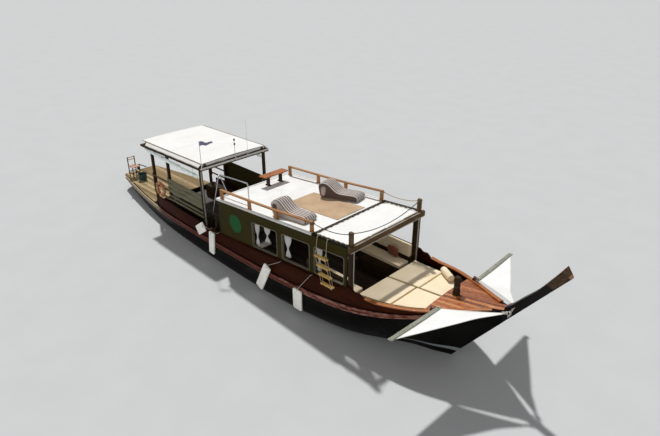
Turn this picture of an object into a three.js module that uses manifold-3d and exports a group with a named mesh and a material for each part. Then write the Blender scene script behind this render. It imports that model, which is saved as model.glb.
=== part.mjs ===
// Wooden longtail-style cruise boat, afloat, as an assembly of separate pieces.
// Millimetres. +X bow, +Y port, +Z up. The origin is on the centreline at the waterline.

import * as THREE from "three";
import { mergeVertices } from "three/addons/utils/BufferGeometryUtils.js";
import Module from "manifold-3d";

// Driving dimensions

const GAP = 0.3; // running gap between pieces that touch
const TRANSOM_X = -8500;
const HULL_FRONT_X = 8850; // the stem head joins the hull here
const STEM_WATER_X = 7580; // where the stem enters the water
const STEM_SLOPE = 1.367; // rise of the straight stem per unit forward

const ROOF_Z = 2710; // top of the sun deck at the awning beam
const ROOF_BEAM_X = 4000;
const ROOF_RISE = 0.09; // the sun deck climbs forward with the sheer
const ROOF_HALF = 1500;
const ROOF_THICK = 80;
const ROOF_AFT_X = -400;
const AWNING_FRONT_X = 5380;

const PANEL_OUTER = 1450; // outer face of the cabin side
const PANEL_THICK = 40;
const PANEL_DROP = 1270; // from the sun deck down to the foot of the cabin side
const PANEL_FRONT_X = 5185;
const WINDOW_TOP_DROP = 370;
const WINDOW_FOOT_DROP = 1190;

const COCKPIT_FLOOR = 450; // hull floor inside the well
const SOLE_THICK = 30;
const WELL_AFT_X = -5000;
const WELL_FRONT_X = 5300;
const WELL_MARGIN = 230; // hull edge to the side of the well

const CANOPY_AFT_X = -5200;
const CANOPY_FRONT_X = -1350;
const CANOPY_TOP = 3090; // canvas top at the middle of its length
const CANOPY_RISE = 0.026;
const CANOPY_HALF = 1290;
const POST_SIZE = 90; // canopy posts

const SHAFT_Z = -600;
const SHAFT_R = 25;
const BORE_CLEARANCE = 0.6;
const PROPELLER_X = -7150;
const RUDDER_AXIS_X = TRANSOM_X - 70;

const WING_ROOT = new THREE.Vector3(7530, 900, 1850); // hinge end at the gunwale
const WING_NOSE = new THREE.Vector3(8990, 170, 2075); // hinge end at the stem head
const WING_TIP = new THREE.Vector3(7550, 2570, 1870);

// Hull lines: station, keel height, half breadth and height of the sheer,
// fullness of the section and hollow of its flare.
const HULL_LINES = [
  { x: -8500, keel: -60, half: 700, sheer: 600, full: 3.5, hollow: 1 },
  { x: -7200, keel: -230, half: 960, sheer: 600, full: 4, hollow: 1 },
  { x: -6000, keel: -400, half: 1160, sheer: 605, full: 4.5, hollow: 1 },
  { x: -4800, keel: -540, half: 1320, sheer: 615, full: 5, hollow: 1 },
  { x: -3700, keel: -620, half: 1440, sheer: 640, full: 5, hollow: 1 },
  { x: -2000, keel: -680, half: 1550, sheer: 710, full: 5, hollow: 1 },
  { x: -400, keel: -700, half: 1610, sheer: 790, full: 5, hollow: 1 },
  { x: 1000, keel: -700, half: 1640, sheer: 840, full: 5, hollow: 1 },
  { x: 2400, keel: -700, half: 1650, sheer: 890, full: 4.5, hollow: 1 },
  { x: 4000, keel: -690, half: 1635, sheer: 1010, full: 3.5, hollow: 1 },
  { x: 5200, keel: -670, half: 1590, sheer: 1160, full: 2.6, hollow: 1 },
  { x: 6100, keel: -630, half: 1470, sheer: 1330, full: 1.7, hollow: 1.1 },
  { x: 6700, keel: -590, half: 1320, sheer: 1470, full: 1.15, hollow: 1.2 },
  { x: 7200, keel: -500, half: 1120, sheer: 1600, full: 1, hollow: 1.3 },
  { x: 7600, keel: 0, half: 900, sheer: 1700, full: 1, hollow: 1.3 },
  { x: 8000, keel: 544, half: 650, sheer: 1810, full: 1, hollow: 1.2 },
  { x: 8400, keel: 1091, half: 390, sheer: 1920, full: 1, hollow: 1.1 },
  { x: 8850, keel: 1706, half: 115, sheer: 2060, full: 1, hollow: 1 },
];
const KEEL_HALF = 45; // half the flat of the keel and stem
const STRAKE_DEPTH = 190; // the top strake is flat over this depth
const STRAKE_FOOT_SHARE = 0.3; // the strake's foot stays above this share of the hull's depth
const STEM_RAKE_DROP = 30; // the keel line starts this much lower than the stem's foot
const SECTION_LEVELS = [0, 0.05, 0.13, 0.25, 0.4, 0.58, 0.78, 1]; // below the top strake
const STATION_STEP = 500;
const BOW_STATIONS = [7000, 7200, 7400, 7600, 7800, 8000, 8200, 8400, 8600, HULL_FRONT_X];

const roofZ = (x) => ROOF_Z + (x - ROOF_BEAM_X) * ROOF_RISE;
const panelFoot = (x) => roofZ(x) - PANEL_DROP;

// Bulwark: lean is the inward set of its top edge from the hull's edge.
const BULWARK_LINES = [
  { x: -4600, lean: 40, top: 1000 },
  { x: -3700, lean: 90, top: 1030 },
  { x: -400, lean: 130, top: panelFoot(-400) - GAP },
  { x: 5190, lean: 105, top: panelFoot(5190) - GAP },
  { x: 5215, lean: 105, top: 1650 },
  { x: 5390, lean: 95, top: 1650 },
  { x: 5450, lean: 90, top: 1605 },
  { x: 5540, lean: 85, top: 1590 },
  { x: 5600, lean: 80, top: 1605 },
  { x: 5690, lean: 75, top: 1575 },
  { x: 5800, lean: 70, top: 1515 },
  { x: 6100, lean: 60, top: 1505 },
  { x: 7200, lean: 40, top: 1665 },
  { x: 8000, lean: 30, top: 1845 },
  { x: 8600, lean: 20, top: 1995 },
];
const BULWARK_BUTTS = [-400, 5190]; // the boards meet at the ends of the cabin side
const BULWARK_THICK = 50;
const BULWARK_INSET = 20;
const CAP_AFT_X = 5810;
const CAP_WIDTH = 115;
const CAP_THICK = 38;
const CAP_OVERHANG = 25;

const BLACK = 0x14130f;
const MAHOGANY = 0x4a2317;
const VARNISH = 0x9a552b;
const DARK_TIMBER = 0x33241b;
const OLIVE = 0x4a4327;
const WHITE = 0xf2f0ea;
const CREAM = 0xe6d6b4;
const PALE_PLANK = 0xb09a78;
const STEEL = 0xb9bcc0;
const FADED_RED = 0x7a3328;
const ENGINE_GREY = 0x5b6468;
const TERRACOTTA = 0x7d4636;
const MAT_TAN = 0xb49a78;
const LOUNGER_GREY = 0xb8b2ac;
const LADDER_YELLOW = 0xc79a4b;
const FOAM = 0xe9e6dd;
const CLEAR_SHEET = 0xc9cdc8;
const WORN_PAINT = 0x77765f;
const BUOY_ORANGE = 0xc9542a;
const SEAT_BROWN = 0x8a5a4a;
const BRONZE = 0xa98548;

const wasm = await Module();
wasm.setup();
const boat = new THREE.Group();

function piece(name, geometry, color, roughness = 0.6, metalness = 0) {
  const material = new THREE.MeshStandardMaterial({ color, roughness, metalness });
  const mesh = new THREE.Mesh(geometry, material);
  mesh.name = name;
  boat.add(mesh);
  return mesh;
}

// Mesh helpers

function weld(geometry) {
  const bare = geometry.clone();
  for (const attribute of ["normal", "uv"]) bare.deleteAttribute(attribute);
  return mergeVertices(bare, 0.001);
}

function manifoldOf(geometry) {
  const welded = weld(geometry);
  const vertProperties = new Float32Array(welded.attributes.position.array);
  const triVerts = new Uint32Array(welded.index.array);
  return new wasm.Manifold(new wasm.Mesh({ numProp: 3, vertProperties, triVerts }));
}

function geometryOf(manifold) {
  const mesh = manifold.getMesh();
  const geometry = new THREE.BufferGeometry();
  geometry.setAttribute("position", new THREE.BufferAttribute(new Float32Array(mesh.vertProperties), 3));
  geometry.setIndex(new THREE.BufferAttribute(new Uint32Array(mesh.triVerts), 1));
  return geometry;
}

function join(geometries) {
  return geometryOf(geometries.map(manifoldOf).reduce((whole, part) => whole.add(part)));
}

function cut(geometry, tools) {
  return geometryOf(tools.map(manifoldOf).reduce((rest, tool) => rest.subtract(tool), manifoldOf(geometry)));
}

function signedVolume(points, faces) {
  let sum = 0;
  for (const [a, b, c] of faces) {
    const [p, q, r] = [points[a], points[b], points[c]];
    sum += p[0] * (q[1] * r[2] - q[2] * r[1]);
    sum += p[1] * (q[2] * r[0] - q[0] * r[2]);
    sum += p[2] * (q[0] * r[1] - q[1] * r[0]);
  }
  return sum;
}

function distance(a, b) {
  return Math.hypot(a[0] - b[0], a[1] - b[1], a[2] - b[2]);
}

// A closed body through rings of equal point counts, each side split on its shorter diagonal.
function loft(rings) {
  const count = rings[0].length;
  const points = rings.flat();
  const faces = [];
  for (let ring = 0; ring < rings.length - 1; ring++) {
    for (let i = 0; i < count; i++) {
      const j = (i + 1) % count;
      const [a, b] = [ring * count + i, ring * count + j];
      const [c, d] = [a + count, b + count];
      if (distance(points[a], points[d]) <= distance(points[b], points[c])) faces.push([a, b, d], [a, d, c]);
      else faces.push([a, b, c], [b, d, c]);
    }
  }
  const last = (rings.length - 1) * count;
  for (const [start, flip] of [[0, true], [last, false]]) {
    for (const [a, b, c] of capFaces(points.slice(start, start + count))) {
      faces.push(flip ? [start + a, start + c, start + b] : [start + a, start + b, start + c]);
    }
  }
  const outward = signedVolume(points, faces) > 0 ? faces : faces.map(([a, b, c]) => [a, c, b]);
  const geometry = new THREE.BufferGeometry();
  geometry.setAttribute("position", new THREE.Float32BufferAttribute(points.flat(), 3));
  geometry.setIndex(outward.flat());
  return geometry;
}

// Triangles that close one flat ring, wound as the ring is.
function capFaces(ring) {
  const normal = new THREE.Vector3();
  ring.forEach((p, i) => {
    const q = ring[(i + 1) % ring.length];
    normal.x += (p[1] - q[1]) * (p[2] + q[2]);
    normal.y += (p[2] - q[2]) * (p[0] + q[0]);
    normal.z += (p[0] - q[0]) * (p[1] + q[1]);
  });
  normal.normalize();
  const helper = Math.abs(normal.z) < 0.9 ? new THREE.Vector3(0, 0, 1) : new THREE.Vector3(1, 0, 0);
  const u = new THREE.Vector3().crossVectors(helper, normal).normalize();
  const v = new THREE.Vector3().crossVectors(normal, u);
  const flat = ring.map((p) => {
    const point = new THREE.Vector3(...p);
    return new THREE.Vector2(point.dot(u), point.dot(v));
  });
  return THREE.ShapeUtils.triangulateShape(flat, []);
}

function box(low, high) {
  const size = high.map((value, i) => value - low[i]);
  const centre = high.map((value, i) => (value + low[i]) / 2);
  return new THREE.BoxGeometry(...size).translate(...centre);
}

// An outline in the side view, [x, z] points, pushed out from y = low to y = high.
function sidePlate(outline, low, high) {
  const shape = new THREE.Shape(outline.map(([x, z]) => new THREE.Vector2(x, z)));
  const plate = new THREE.ExtrudeGeometry(shape, { depth: high - low, bevelEnabled: false });
  return plate.rotateX(Math.PI / 2).translate(0, high, 0);
}

// A round bar from one point to another.
function bar(from, to, radius, sides = 12) {
  const start = new THREE.Vector3(...from);
  const along = new THREE.Vector3(...to).sub(start);
  const rod = new THREE.CylinderGeometry(radius, radius, along.length(), sides);
  const rodAxis = new THREE.Vector3(0, 1, 0);
  const turn = new THREE.Quaternion().setFromUnitVectors(rodAxis, along.clone().normalize());
  rod.applyQuaternion(turn);
  return rod.translate(...start.addScaledVector(along, 0.5).toArray());
}

function bars(points, radius, sides) {
  const knuckle = (p) => new THREE.IcosahedronGeometry(radius * 1.15, 0).translate(...p);
  const joints = points.slice(1, -1).map(knuckle);
  return join([...points.slice(1).map((p, i) => bar(points[i], p, radius, sides)), ...joints]);
}

function mirrored(geometry) {
  const copy = weld(geometry).scale(1, -1, 1);
  const index = copy.index.array;
  for (let i = 0; i < index.length; i += 3) [index[i + 1], index[i + 2]] = [index[i + 2], index[i + 1]];
  return copy;
}

function bothSides(name, portGeometry, color, roughness, metalness) {
  piece(`${name}_port`, portGeometry, color, roughness, metalness);
  piece(`${name}_starboard`, mirrored(portGeometry), color, roughness, metalness);
}

// Lines that the pieces share

// Smooth value of one column, by cubic curves with averaged slopes.
function faired(table, column, x) {
  const last = table.length - 1;
  let i = 0;
  while (i < last - 1 && x > table[i + 1].x) i++;
  const slope = (k) => {
    const [a, b] = [table[Math.max(k - 1, 0)], table[Math.min(k + 1, last)]];
    return (b[column] - a[column]) / (b.x - a.x);
  };
  const [from, to] = [table[i], table[i + 1]];
  const width = to.x - from.x;
  const t = (x - from.x) / width;
  const [t2, t3] = [t * t, t * t * t];
  return from[column] * (2 * t3 - 3 * t2 + 1) + to[column] * (3 * t2 - 2 * t3)
    + width * (slope(i) * (t3 - 2 * t2 + t) + slope(i + 1) * (t3 - t2));
}

function straight(table, column, x) {
  const last = table.length - 1;
  let i = 0;
  while (i < last - 1 && x > table[i + 1].x) i++;
  const t = (x - table[i].x) / (table[i + 1].x - table[i].x);
  return table[i][column] + t * (table[i + 1][column] - table[i][column]);
}

// Hull stations, closer together in the bow.
const stations = [];
for (let x = TRANSOM_X; x < BOW_STATIONS[0]; x += STATION_STEP) stations.push(x);
stations.push(...BOW_STATIONS);

const edgeTable = stations.map((x) => ({
  x,
  keel: x > STEM_WATER_X ? (x - STEM_WATER_X) * STEM_SLOPE - STEM_RAKE_DROP : faired(HULL_LINES, "keel", x),
  half: faired(HULL_LINES, "half", x),
  sheer: faired(HULL_LINES, "sheer", x),
}));
const sheerZ = (x) => straight(edgeTable, "sheer", x);
const sheerHalf = (x) => straight(edgeTable, "half", x);
const canopyZ = (x) => CANOPY_TOP + (x - (CANOPY_AFT_X + CANOPY_FRONT_X) / 2) * CANOPY_RISE;

// The hull's stations between two places, with the ends and any further breaks.
function stationsBetween(aft, front, breaks = []) {
  const inside = [...stations, ...breaks].filter((x) => x > aft + 1 && x < front - 1);
  return [...new Set([aft, ...inside, front])].sort((a, b) => a - b);
}

function sectionHalf(row, level) {
  const [full, hollow] = ["full", "hollow"].map((column) => faired(HULL_LINES, column, row.x));
  return KEEL_HALF + (row.half - KEEL_HALF) * (1 - (1 - level ** hollow) ** full);
}

// One side of a hull section from the keel to the sheer, as [y, z].
function halfSection(row) {
  const depth = row.sheer - row.keel;
  const strakeFoot = Math.max(row.sheer - STRAKE_DEPTH, row.keel + depth * STRAKE_FOOT_SHARE);
  const side = SECTION_LEVELS.map((part) => {
    const z = row.keel + part * (strakeFoot - row.keel);
    return [sectionHalf(row, (z - row.keel) / depth), z];
  });
  return [...side, [row.half, row.sheer]];
}

// Hull

function hullBody() {
  const rings = edgeTable.map((row) => {
    const side = halfSection(row);
    const port = side.map(([y, z]) => [row.x, y, z]);
    const starboard = side.map(([y, z]) => [row.x, -y, z]).reverse();
    return [...port, ...starboard];
  });
  return loft(rings);
}

const OPEN_TOP = 3000; // above all that a recess is open to
const PAD_BREAK_X = 6800; // the pads turn inward faster from here

function wellBody() {
  const rings = stationsBetween(WELL_AFT_X, WELL_FRONT_X).map((x) => {
    const half = sheerHalf(x) - WELL_MARGIN;
    return [[x, -half, COCKPIT_FLOOR], [x, half, COCKPIT_FLOOR], [x, half, OPEN_TOP], [x, -half, OPEN_TOP]];
  });
  return loft(rings);
}

// Recess in the hull's top that takes the deck under the sun pads; it opens aft into the well.
function padRecess() {
  const rings = stationsBetween(WELL_FRONT_X - 20, BOW_DECK_AFT_X + GAP, [PAD_BREAK_X]).map((x) => {
    const half = padHalf(x) + PAD_DECK_MARGIN + GAP;
    const floor = padDeckZ(x) - PAD_DECK_THICK;
    return [[x, -half, floor], [x, half, floor], [x, half, OPEN_TOP], [x, -half, OPEN_TOP]];
  });
  return loft(rings);
}

const ENGINE_BAY = { aft: -3300, front: -1700, half: 450, floor: -300 };
const ENGINE = { aft: -3200, front: -2000, half: 330, top: 320 };
const SKEG_AFT_X = -6900;
const SKEG_OUTLINE = [[-2600, -600], [SKEG_AFT_X, -200], [SKEG_AFT_X, -860], [-5200, -930], [-3400, -820]];
const SKEG_HALF = 60;
const SHAFT_BOSS = { aft: SKEG_AFT_X - 40, front: SKEG_AFT_X + 500, radius: 85 };
const SHAFT_INSIDE = 320;
const GUDGEON_HEIGHTS = [75, 470];
const GUDGEON_HALF_HEIGHT = 22;
const GUDGEON_R = 45;
const BORE_SIDES = 32;
const RUDDER_BORE = { foot: -100, head: 900 };

function hull() {
  const bay = ENGINE_BAY;
  const skeg = sidePlate(SKEG_OUTLINE, -SKEG_HALF, SKEG_HALF);
  const boss = bar([SHAFT_BOSS.aft, 0, SHAFT_Z], [SHAFT_BOSS.front, 0, SHAFT_Z], SHAFT_BOSS.radius, 24);
  const gudgeons = GUDGEON_HEIGHTS.map((z) => {
    const shape = new THREE.Shape();
    shape.absarc(RUDDER_AXIS_X, 0, GUDGEON_R, Math.PI / 2, Math.PI * 1.5, false);
    shape.lineTo(TRANSOM_X + 20, -GUDGEON_R);
    shape.lineTo(TRANSOM_X + 20, GUDGEON_R);
    const depth = GUDGEON_HALF_HEIGHT * 2;
    const plate = new THREE.ExtrudeGeometry(shape, { depth, bevelEnabled: false, curveSegments: 8 });
    return plate.translate(0, 0, z - GUDGEON_HALF_HEIGHT);
  });
  const whole = join([hullBody(), skeg, boss, ...gudgeons]);
  const boreR = SHAFT_R + BORE_CLEARANCE;
  return cut(whole, [
    wellBody(),
    padRecess(),
    box([bay.aft, -bay.half, bay.floor], [bay.front, bay.half, COCKPIT_FLOOR + 10]),
    bar([SKEG_AFT_X - 60, 0, SHAFT_Z], [SKEG_AFT_X + SHAFT_INSIDE, 0, SHAFT_Z], boreR, BORE_SIDES),
    bar([RUDDER_AXIS_X, 0, RUDDER_BORE.foot], [RUDDER_AXIS_X, 0, RUDDER_BORE.head], boreR, BORE_SIDES),
  ]);
}

function engineBlock() {
  const { aft, front, half, top } = ENGINE;
  return box([aft, -half, ENGINE_BAY.floor + GAP], [front, half, top]);
}

// Upswept stem head: low and top points in the side view, and the half width at each.
const PROW_SECTIONS = [
  { low: [8850 + GAP, 1706], top: [8850 + GAP, 2120], lowHalf: 45, topHalf: 112 },
  { low: [9060, 1993], top: [8990, 2255], lowHalf: 42, topHalf: 105 },
  { low: [9350, 2390], top: [9200, 2515], lowHalf: 42, topHalf: 102 },
  { low: [9600, 2732], top: [9465, 2832], lowHalf: 45, topHalf: 108 },
  { low: [9790, 2992], top: [9640, 3100], lowHalf: 52, topHalf: 128 },
  { low: [9980, 3251], top: [9810, 3372], lowHalf: 60, topHalf: 154 },
  { low: [10110, 3430], top: [9920, 3568], lowHalf: 66, topHalf: 172 },
];
const EYE_R = 32;
const PIN_R = 12;
const EYE_LENGTH = 44;
const EYE_SIDES = 20;
const EYE_ARM_R = 20; // arms and feet that carry the eyes

const wingAxis = WING_NOSE.clone().sub(WING_ROOT).normalize();
const mirrorY = (v) => new THREE.Vector3(v.x, -v.y, v.z);

// A lashing eye: a short sleeve round one end of a wing's hinge line.
function eyeSleeve(end, along, radius) {
  const from = end.clone().addScaledVector(along, -EYE_LENGTH / 2);
  const to = end.clone().addScaledVector(along, EYE_LENGTH / 2);
  return bar(from.toArray(), to.toArray(), radius, EYE_SIDES);
}

function eyeBore(end, along) {
  const reach = along.clone().multiplyScalar(EYE_LENGTH);
  const from = end.clone().sub(reach).toArray();
  return bar(from, end.clone().add(reach).toArray(), PIN_R + BORE_CLEARANCE, EYE_SIDES);
}

function prow() {
  const body = loft(PROW_SECTIONS.map(({ low, top, lowHalf, topHalf }) => [
    [low[0], -lowHalf, low[1]], [low[0], lowHalf, low[1]],
    [top[0], topHalf, top[1]], [top[0], -topHalf, top[1]],
  ]));
  const sides = [[WING_NOSE, wingAxis], [mirrorY(WING_NOSE), mirrorY(wingAxis)]];
  const arms = sides.map(([end]) => bar([end.x, 0, end.z], [end.x, end.y * 0.86, end.z], EYE_ARM_R));
  const sleeves = sides.map(([end, along]) => eyeSleeve(end, along, EYE_R));
  return cut(join([body, ...arms, ...sleeves]), sides.map(([end, along]) => eyeBore(end, along)));
}

// Double rub rail that follows the top strake.
const RAIL_OUT = 45;
const RAIL_GROOVE = 22;
const RAIL_TOP_DROP = 12;
const RAIL_BAND = 52;
const RAIL_SEAT = 0.5;

function rubRail() {
  const rings = stationsBetween(TRANSOM_X + 30, 8400).map((x) => {
    const row = { x, keel: straight(edgeTable, "keel", x), half: sheerHalf(x), sheer: sheerZ(x) };
    const side = halfSection(row);
    const [footHalf, footZ] = side[side.length - 2];
    const hullY = (z) => footHalf + (row.half - footHalf) * (z - footZ) / (row.sheer - footZ) + RAIL_SEAT;
    const top = row.sheer - RAIL_TOP_DROP;
    const foot = footZ + RAIL_TOP_DROP;
    const band = Math.min(RAIL_BAND, (top - foot) / 3);
    const at = (z, out) => [x, hullY(z) + out, z];
    return [at(foot, 0), at(foot, RAIL_OUT), at(foot + band, RAIL_OUT), at(foot + band, RAIL_GROOVE),
      at(top - band, RAIL_GROOVE), at(top - band, RAIL_OUT), at(top, RAIL_OUT), at(top, 0)];
  });
  return loft(rings);
}

const bulwarkTopOuter = (x) => sheerHalf(x) - straight(BULWARK_LINES, "lean", x);
const bulwarkTopZ = (x) => straight(BULWARK_LINES, "top", x);
const bulwarkBreaks = BULWARK_LINES.map((row) => row.x);

// One length of bulwark board between two places.
function bulwark(aft, front) {
  const rings = stationsBetween(aft, front, bulwarkBreaks).map((x) => {
    const foot = sheerZ(x) + GAP;
    const outer = sheerHalf(x) - BULWARK_INSET;
    const topOuter = bulwarkTopOuter(x);
    const top = bulwarkTopZ(x);
    return [[x, outer - BULWARK_THICK, foot], [x, outer, foot],
      [x, topOuter, top], [x, topOuter - BULWARK_THICK, top]];
  });
  return loft(rings);
}

function capRail() {
  const rings = stationsBetween(CAP_AFT_X, BULWARK_LINES.at(-1).x, bulwarkBreaks).map((x) => {
    const outer = bulwarkTopOuter(x) + CAP_OVERHANG;
    const inner = outer - CAP_WIDTH;
    const low = bulwarkTopZ(x) + GAP;
    return [[x, inner, low], [x, outer, low], [x, outer, low + CAP_THICK], [x, inner, low + CAP_THICK]];
  });
  const eye = WING_ROOT.clone().addScaledVector(wingAxis, -EYE_LENGTH);
  const foot = bar([eye.x, eye.y, bulwarkTopZ(eye.x) + 10], [eye.x, eye.y, eye.z - EYE_R / 2], EYE_ARM_R);
  return cut(join([loft(rings), foot, eyeSleeve(eye, wingAxis, EYE_R)]), [eyeBore(eye, wingAxis)]);
}

// Decks

const DECK_SIDE_GAP = 6;
const AFT_DECK_SIDE_GAP = 8;
const BOW_DECK_BREAK_X = 8600;
const BOW_DECK_FRONT_X = 8840;

const capInner = (x) => bulwarkTopOuter(x) + CAP_OVERHANG - CAP_WIDTH;

// A deck on the hull's top with a cambered surface; edge and crown give its height over x.
function camberedDeck(aft, front, edge, crown, half) {
  const rings = stationsBetween(aft, front, [BOW_DECK_BREAK_X]).map((x) => {
    const low = sheerZ(x) + GAP;
    const side = half(x);
    return [[x, -side, low], [x, side, low], [x, side, edge(x)], [x, side * 0.5, edge(x) + crown(x) * 0.75],
      [x, 0, edge(x) + crown(x)], [x, -side * 0.5, edge(x) + crown(x) * 0.75], [x, -side, edge(x)]];
  });
  return loft(rings);
}

const PAD_DECK_AFT_X = 5340;
const BOW_DECK_AFT_X = 7250;
const PAD_DECK_HEIGHTS = [{ x: PAD_DECK_AFT_X, edge: 1262 }, { x: BOW_DECK_AFT_X, edge: 1470 }];
const PAD_DECK_THICK = 85;
const PAD_DECK_MARGIN = 45; // beyond the pads on each side
const PAD_HALVES = [{ x: PAD_DECK_AFT_X, half: 1230 }, { x: 6300, half: 1110 }, { x: PAD_BREAK_X, half: 930 },
  { x: BOW_DECK_AFT_X, half: 690 }];
const BOW_DECK_HEIGHTS = [{ x: BOW_DECK_AFT_X, edge: 1685, crown: 55 }, { x: 8000, edge: 1850, crown: 40 },
  { x: BOW_DECK_BREAK_X, edge: 1998, crown: 20 }, { x: BOW_DECK_FRONT_X, edge: 2065, crown: 12 }];
const bowDeckHalf = (x) => Math.min(capInner(Math.min(x, BOW_DECK_BREAK_X)), sheerHalf(x)) - DECK_SIDE_GAP;
const padDeckZ = (x) => straight(PAD_DECK_HEIGHTS, "edge", x);
const padHalf = (x) => straight(PAD_HALVES, "half", x);
const bowDeckZ = (x) => straight(BOW_DECK_HEIGHTS, "edge", x);
const bowCrown = (x) => straight(BOW_DECK_HEIGHTS, "crown", x);

function padDeck() {
  const rings = stationsBetween(PAD_DECK_AFT_X, BOW_DECK_AFT_X, [PAD_BREAK_X]).map((x) => {
    const half = padHalf(x) + PAD_DECK_MARGIN;
    const top = padDeckZ(x);
    const low = top - PAD_DECK_THICK + GAP;
    return [[x, -half, low], [x, half, low], [x, half, top], [x, -half, top]];
  });
  return loft(rings);
}

const AFT_DECK_THICK = 38;
const AFT_DECK_FRONT_X = WELL_AFT_X - 5;

function aftDeck() {
  const rings = stationsBetween(TRANSOM_X + 2, AFT_DECK_FRONT_X).map((x) => {
    const half = sheerHalf(x) - AFT_DECK_SIDE_GAP;
    const low = sheerZ(x) + GAP;
    const top = low + AFT_DECK_THICK;
    return [[x, -half, low], [x, half, low], [x, half, top], [x, -half, top]];
  });
  return loft(rings);
}

const SOLE_TOP = COCKPIT_FLOOR + GAP + SOLE_THICK;
const BULKHEAD_AFT_X = -400;
const BULKHEAD_FRONT_X = -350;

function sole(aft, front) {
  const rings = stationsBetween(aft, front).map((x) => {
    const half = sheerHalf(x) - WELL_MARGIN - 3;
    const low = COCKPIT_FLOOR + GAP;
    return [[x, -half, low], [x, half, low], [x, half, SOLE_TOP], [x, -half, SOLE_TOP]];
  });
  return loft(rings);
}

// Raised hatch in the cockpit sole, over the engine.
const HATCH = { aft: -3150, front: -1950, half: 400, rise: 25 };

function cockpitSole() {
  const { aft, front, half, rise } = HATCH;
  const hatch = box([aft, -half, SOLE_TOP - 10], [front, half, SOLE_TOP + rise]);
  return join([sole(WELL_AFT_X + 10, BULKHEAD_FRONT_X), hatch]);
}

// Samson post: a squared timber with a waisted middle.
const SAMSON_X = 7520;
const SAMSON_SECTIONS = [
  { up: 0, half: 70 }, { up: 130, half: 70 }, { up: 210, half: 56 }, { up: 330, half: 56 },
  { up: 390, half: 72 }, { up: 470, half: 72 }, { up: 500, half: 56 },
];

function samsonPost() {
  const foot = (x) => bowDeckZ(x) + bowCrown(x) + GAP;
  return loft(SAMSON_SECTIONS.map(({ up, half }) => {
    const level = (x) => (up === 0 ? foot(x) : foot(SAMSON_X) + up);
    const [aft, front] = [SAMSON_X - half, SAMSON_X + half];
    const corners = [[aft, -half], [front, -half], [front, half], [aft, half]];
    return corners.map(([x, y]) => [x, y, level(x)]);
  }));
}

// Cabin

const WINDOWS = [{ aft: 1330, front: 2470 }, { aft: 2690, front: 3830 }, { aft: 4010, front: 5110 }];
const panelTop = (x) => roofZ(x) - ROOF_THICK - GAP;

function windowOutline({ aft, front }) {
  const corner = 60;
  const shape = [];
  const low = (x) => roofZ(x) - WINDOW_FOOT_DROP;
  const high = (x) => roofZ(x) - WINDOW_TOP_DROP;
  shape.push([aft + corner, low(aft)], [front - corner, low(front)], [front, low(front) + corner]);
  shape.push([front, high(front) - corner], [front - corner, high(front)]);
  shape.push([aft + corner, high(aft)], [aft, high(aft) - corner], [aft, low(aft) + corner]);
  return shape;
}

function sidePanel() {
  const ends = [BULKHEAD_AFT_X, PANEL_FRONT_X];
  const outline = [...ends.map((x) => [x, panelFoot(x)]), ...ends.toReversed().map((x) => [x, panelTop(x)])];
  const plate = sidePlate(outline, PANEL_OUTER - PANEL_THICK, PANEL_OUTER);
  const hole = (row) => sidePlate(windowOutline(row), PANEL_OUTER - 200, PANEL_OUTER + 200);
  return cut(plate, WINDOWS.map(hole));
}

const DOORWAY_HALF = 380;
const DOORWAY_DROP = 260;

function cabinBulkhead() {
  const half = PANEL_OUTER - PANEL_THICK - 0.5;
  const foot = SOLE_TOP + GAP;
  const wellHalf = sheerHalf(BULKHEAD_AFT_X) - WELL_MARGIN - 5;
  const top = roofZ(BULKHEAD_AFT_X) - ROOF_THICK - GAP;
  const ledge = sheerZ(BULKHEAD_FRONT_X) + 2;
  const outline = [[-wellHalf, foot], [wellHalf, foot], [wellHalf, ledge], [half, ledge],
    [half, top], [-half, top], [-half, ledge], [-wellHalf, ledge]];
  const rings = [BULKHEAD_AFT_X, BULKHEAD_FRONT_X].map((x) => outline.map(([y, z]) => [x, y, z]));
  const [doorAft, doorFront] = [BULKHEAD_AFT_X - 20, BULKHEAD_FRONT_X + 20];
  const door = box([doorAft, -DOORWAY_HALF, foot - 20], [doorFront, DOORWAY_HALF, top - DOORWAY_DROP]);
  const sillHalf = DOORWAY_HALF + 20;
  const sill = box([BULKHEAD_AFT_X, -sillHalf, foot], [BULKHEAD_FRONT_X, sillHalf, foot + 60]);
  return join([cut(loft(rings), [door]), sill]);
}

// A slab that follows the sun deck's slope; up is measured from the deck surface.
function slopedSlab(aft, front, port, starboard, foot, top) {
  const rings = [aft, front].map((x) => [[x, starboard, roofZ(x) + foot], [x, port, roofZ(x) + foot],
    [x, port, roofZ(x) + top], [x, starboard, roofZ(x) + top]]);
  return loft(rings);
}

const ROOF_FRONT_X = 3950;

const FRONT_POST = { aft: 5215, front: 5325, inner: 1342, outer: 1424, stub: 365 };
const BEAM_WIDTH = 95;
const BEAM_DEPTH = 95;

function awningFrame() {
  const post = FRONT_POST;
  const members = [
    slopedSlab(ROOF_FRONT_X + GAP, ROOF_FRONT_X + BEAM_WIDTH, ROOF_HALF, -ROOF_HALF, -ROOF_THICK, 0),
    slopedSlab(AWNING_FRONT_X - BEAM_WIDTH, AWNING_FRONT_X, ROOF_HALF, -ROOF_HALF, -BEAM_DEPTH - 60, 0),
  ];
  for (const side of [1, -1]) {
    const [low, high] = [side * (ROOF_HALF - BEAM_WIDTH), side * ROOF_HALF].sort((a, b) => a - b);
    members.push(slopedSlab(ROOF_FRONT_X + 40, AWNING_FRONT_X - 40, high, low, -ROOF_THICK, 0));
    const [inner, outer] = [side * post.inner, side * post.outer].sort((a, b) => a - b);
    const foot = Math.max(sheerZ(post.aft), sheerZ(post.front)) + GAP;
    members.push(box([post.aft, inner, foot], [post.front, outer, roofZ(post.front) + post.stub]));
  }
  return join(members);
}

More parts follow.
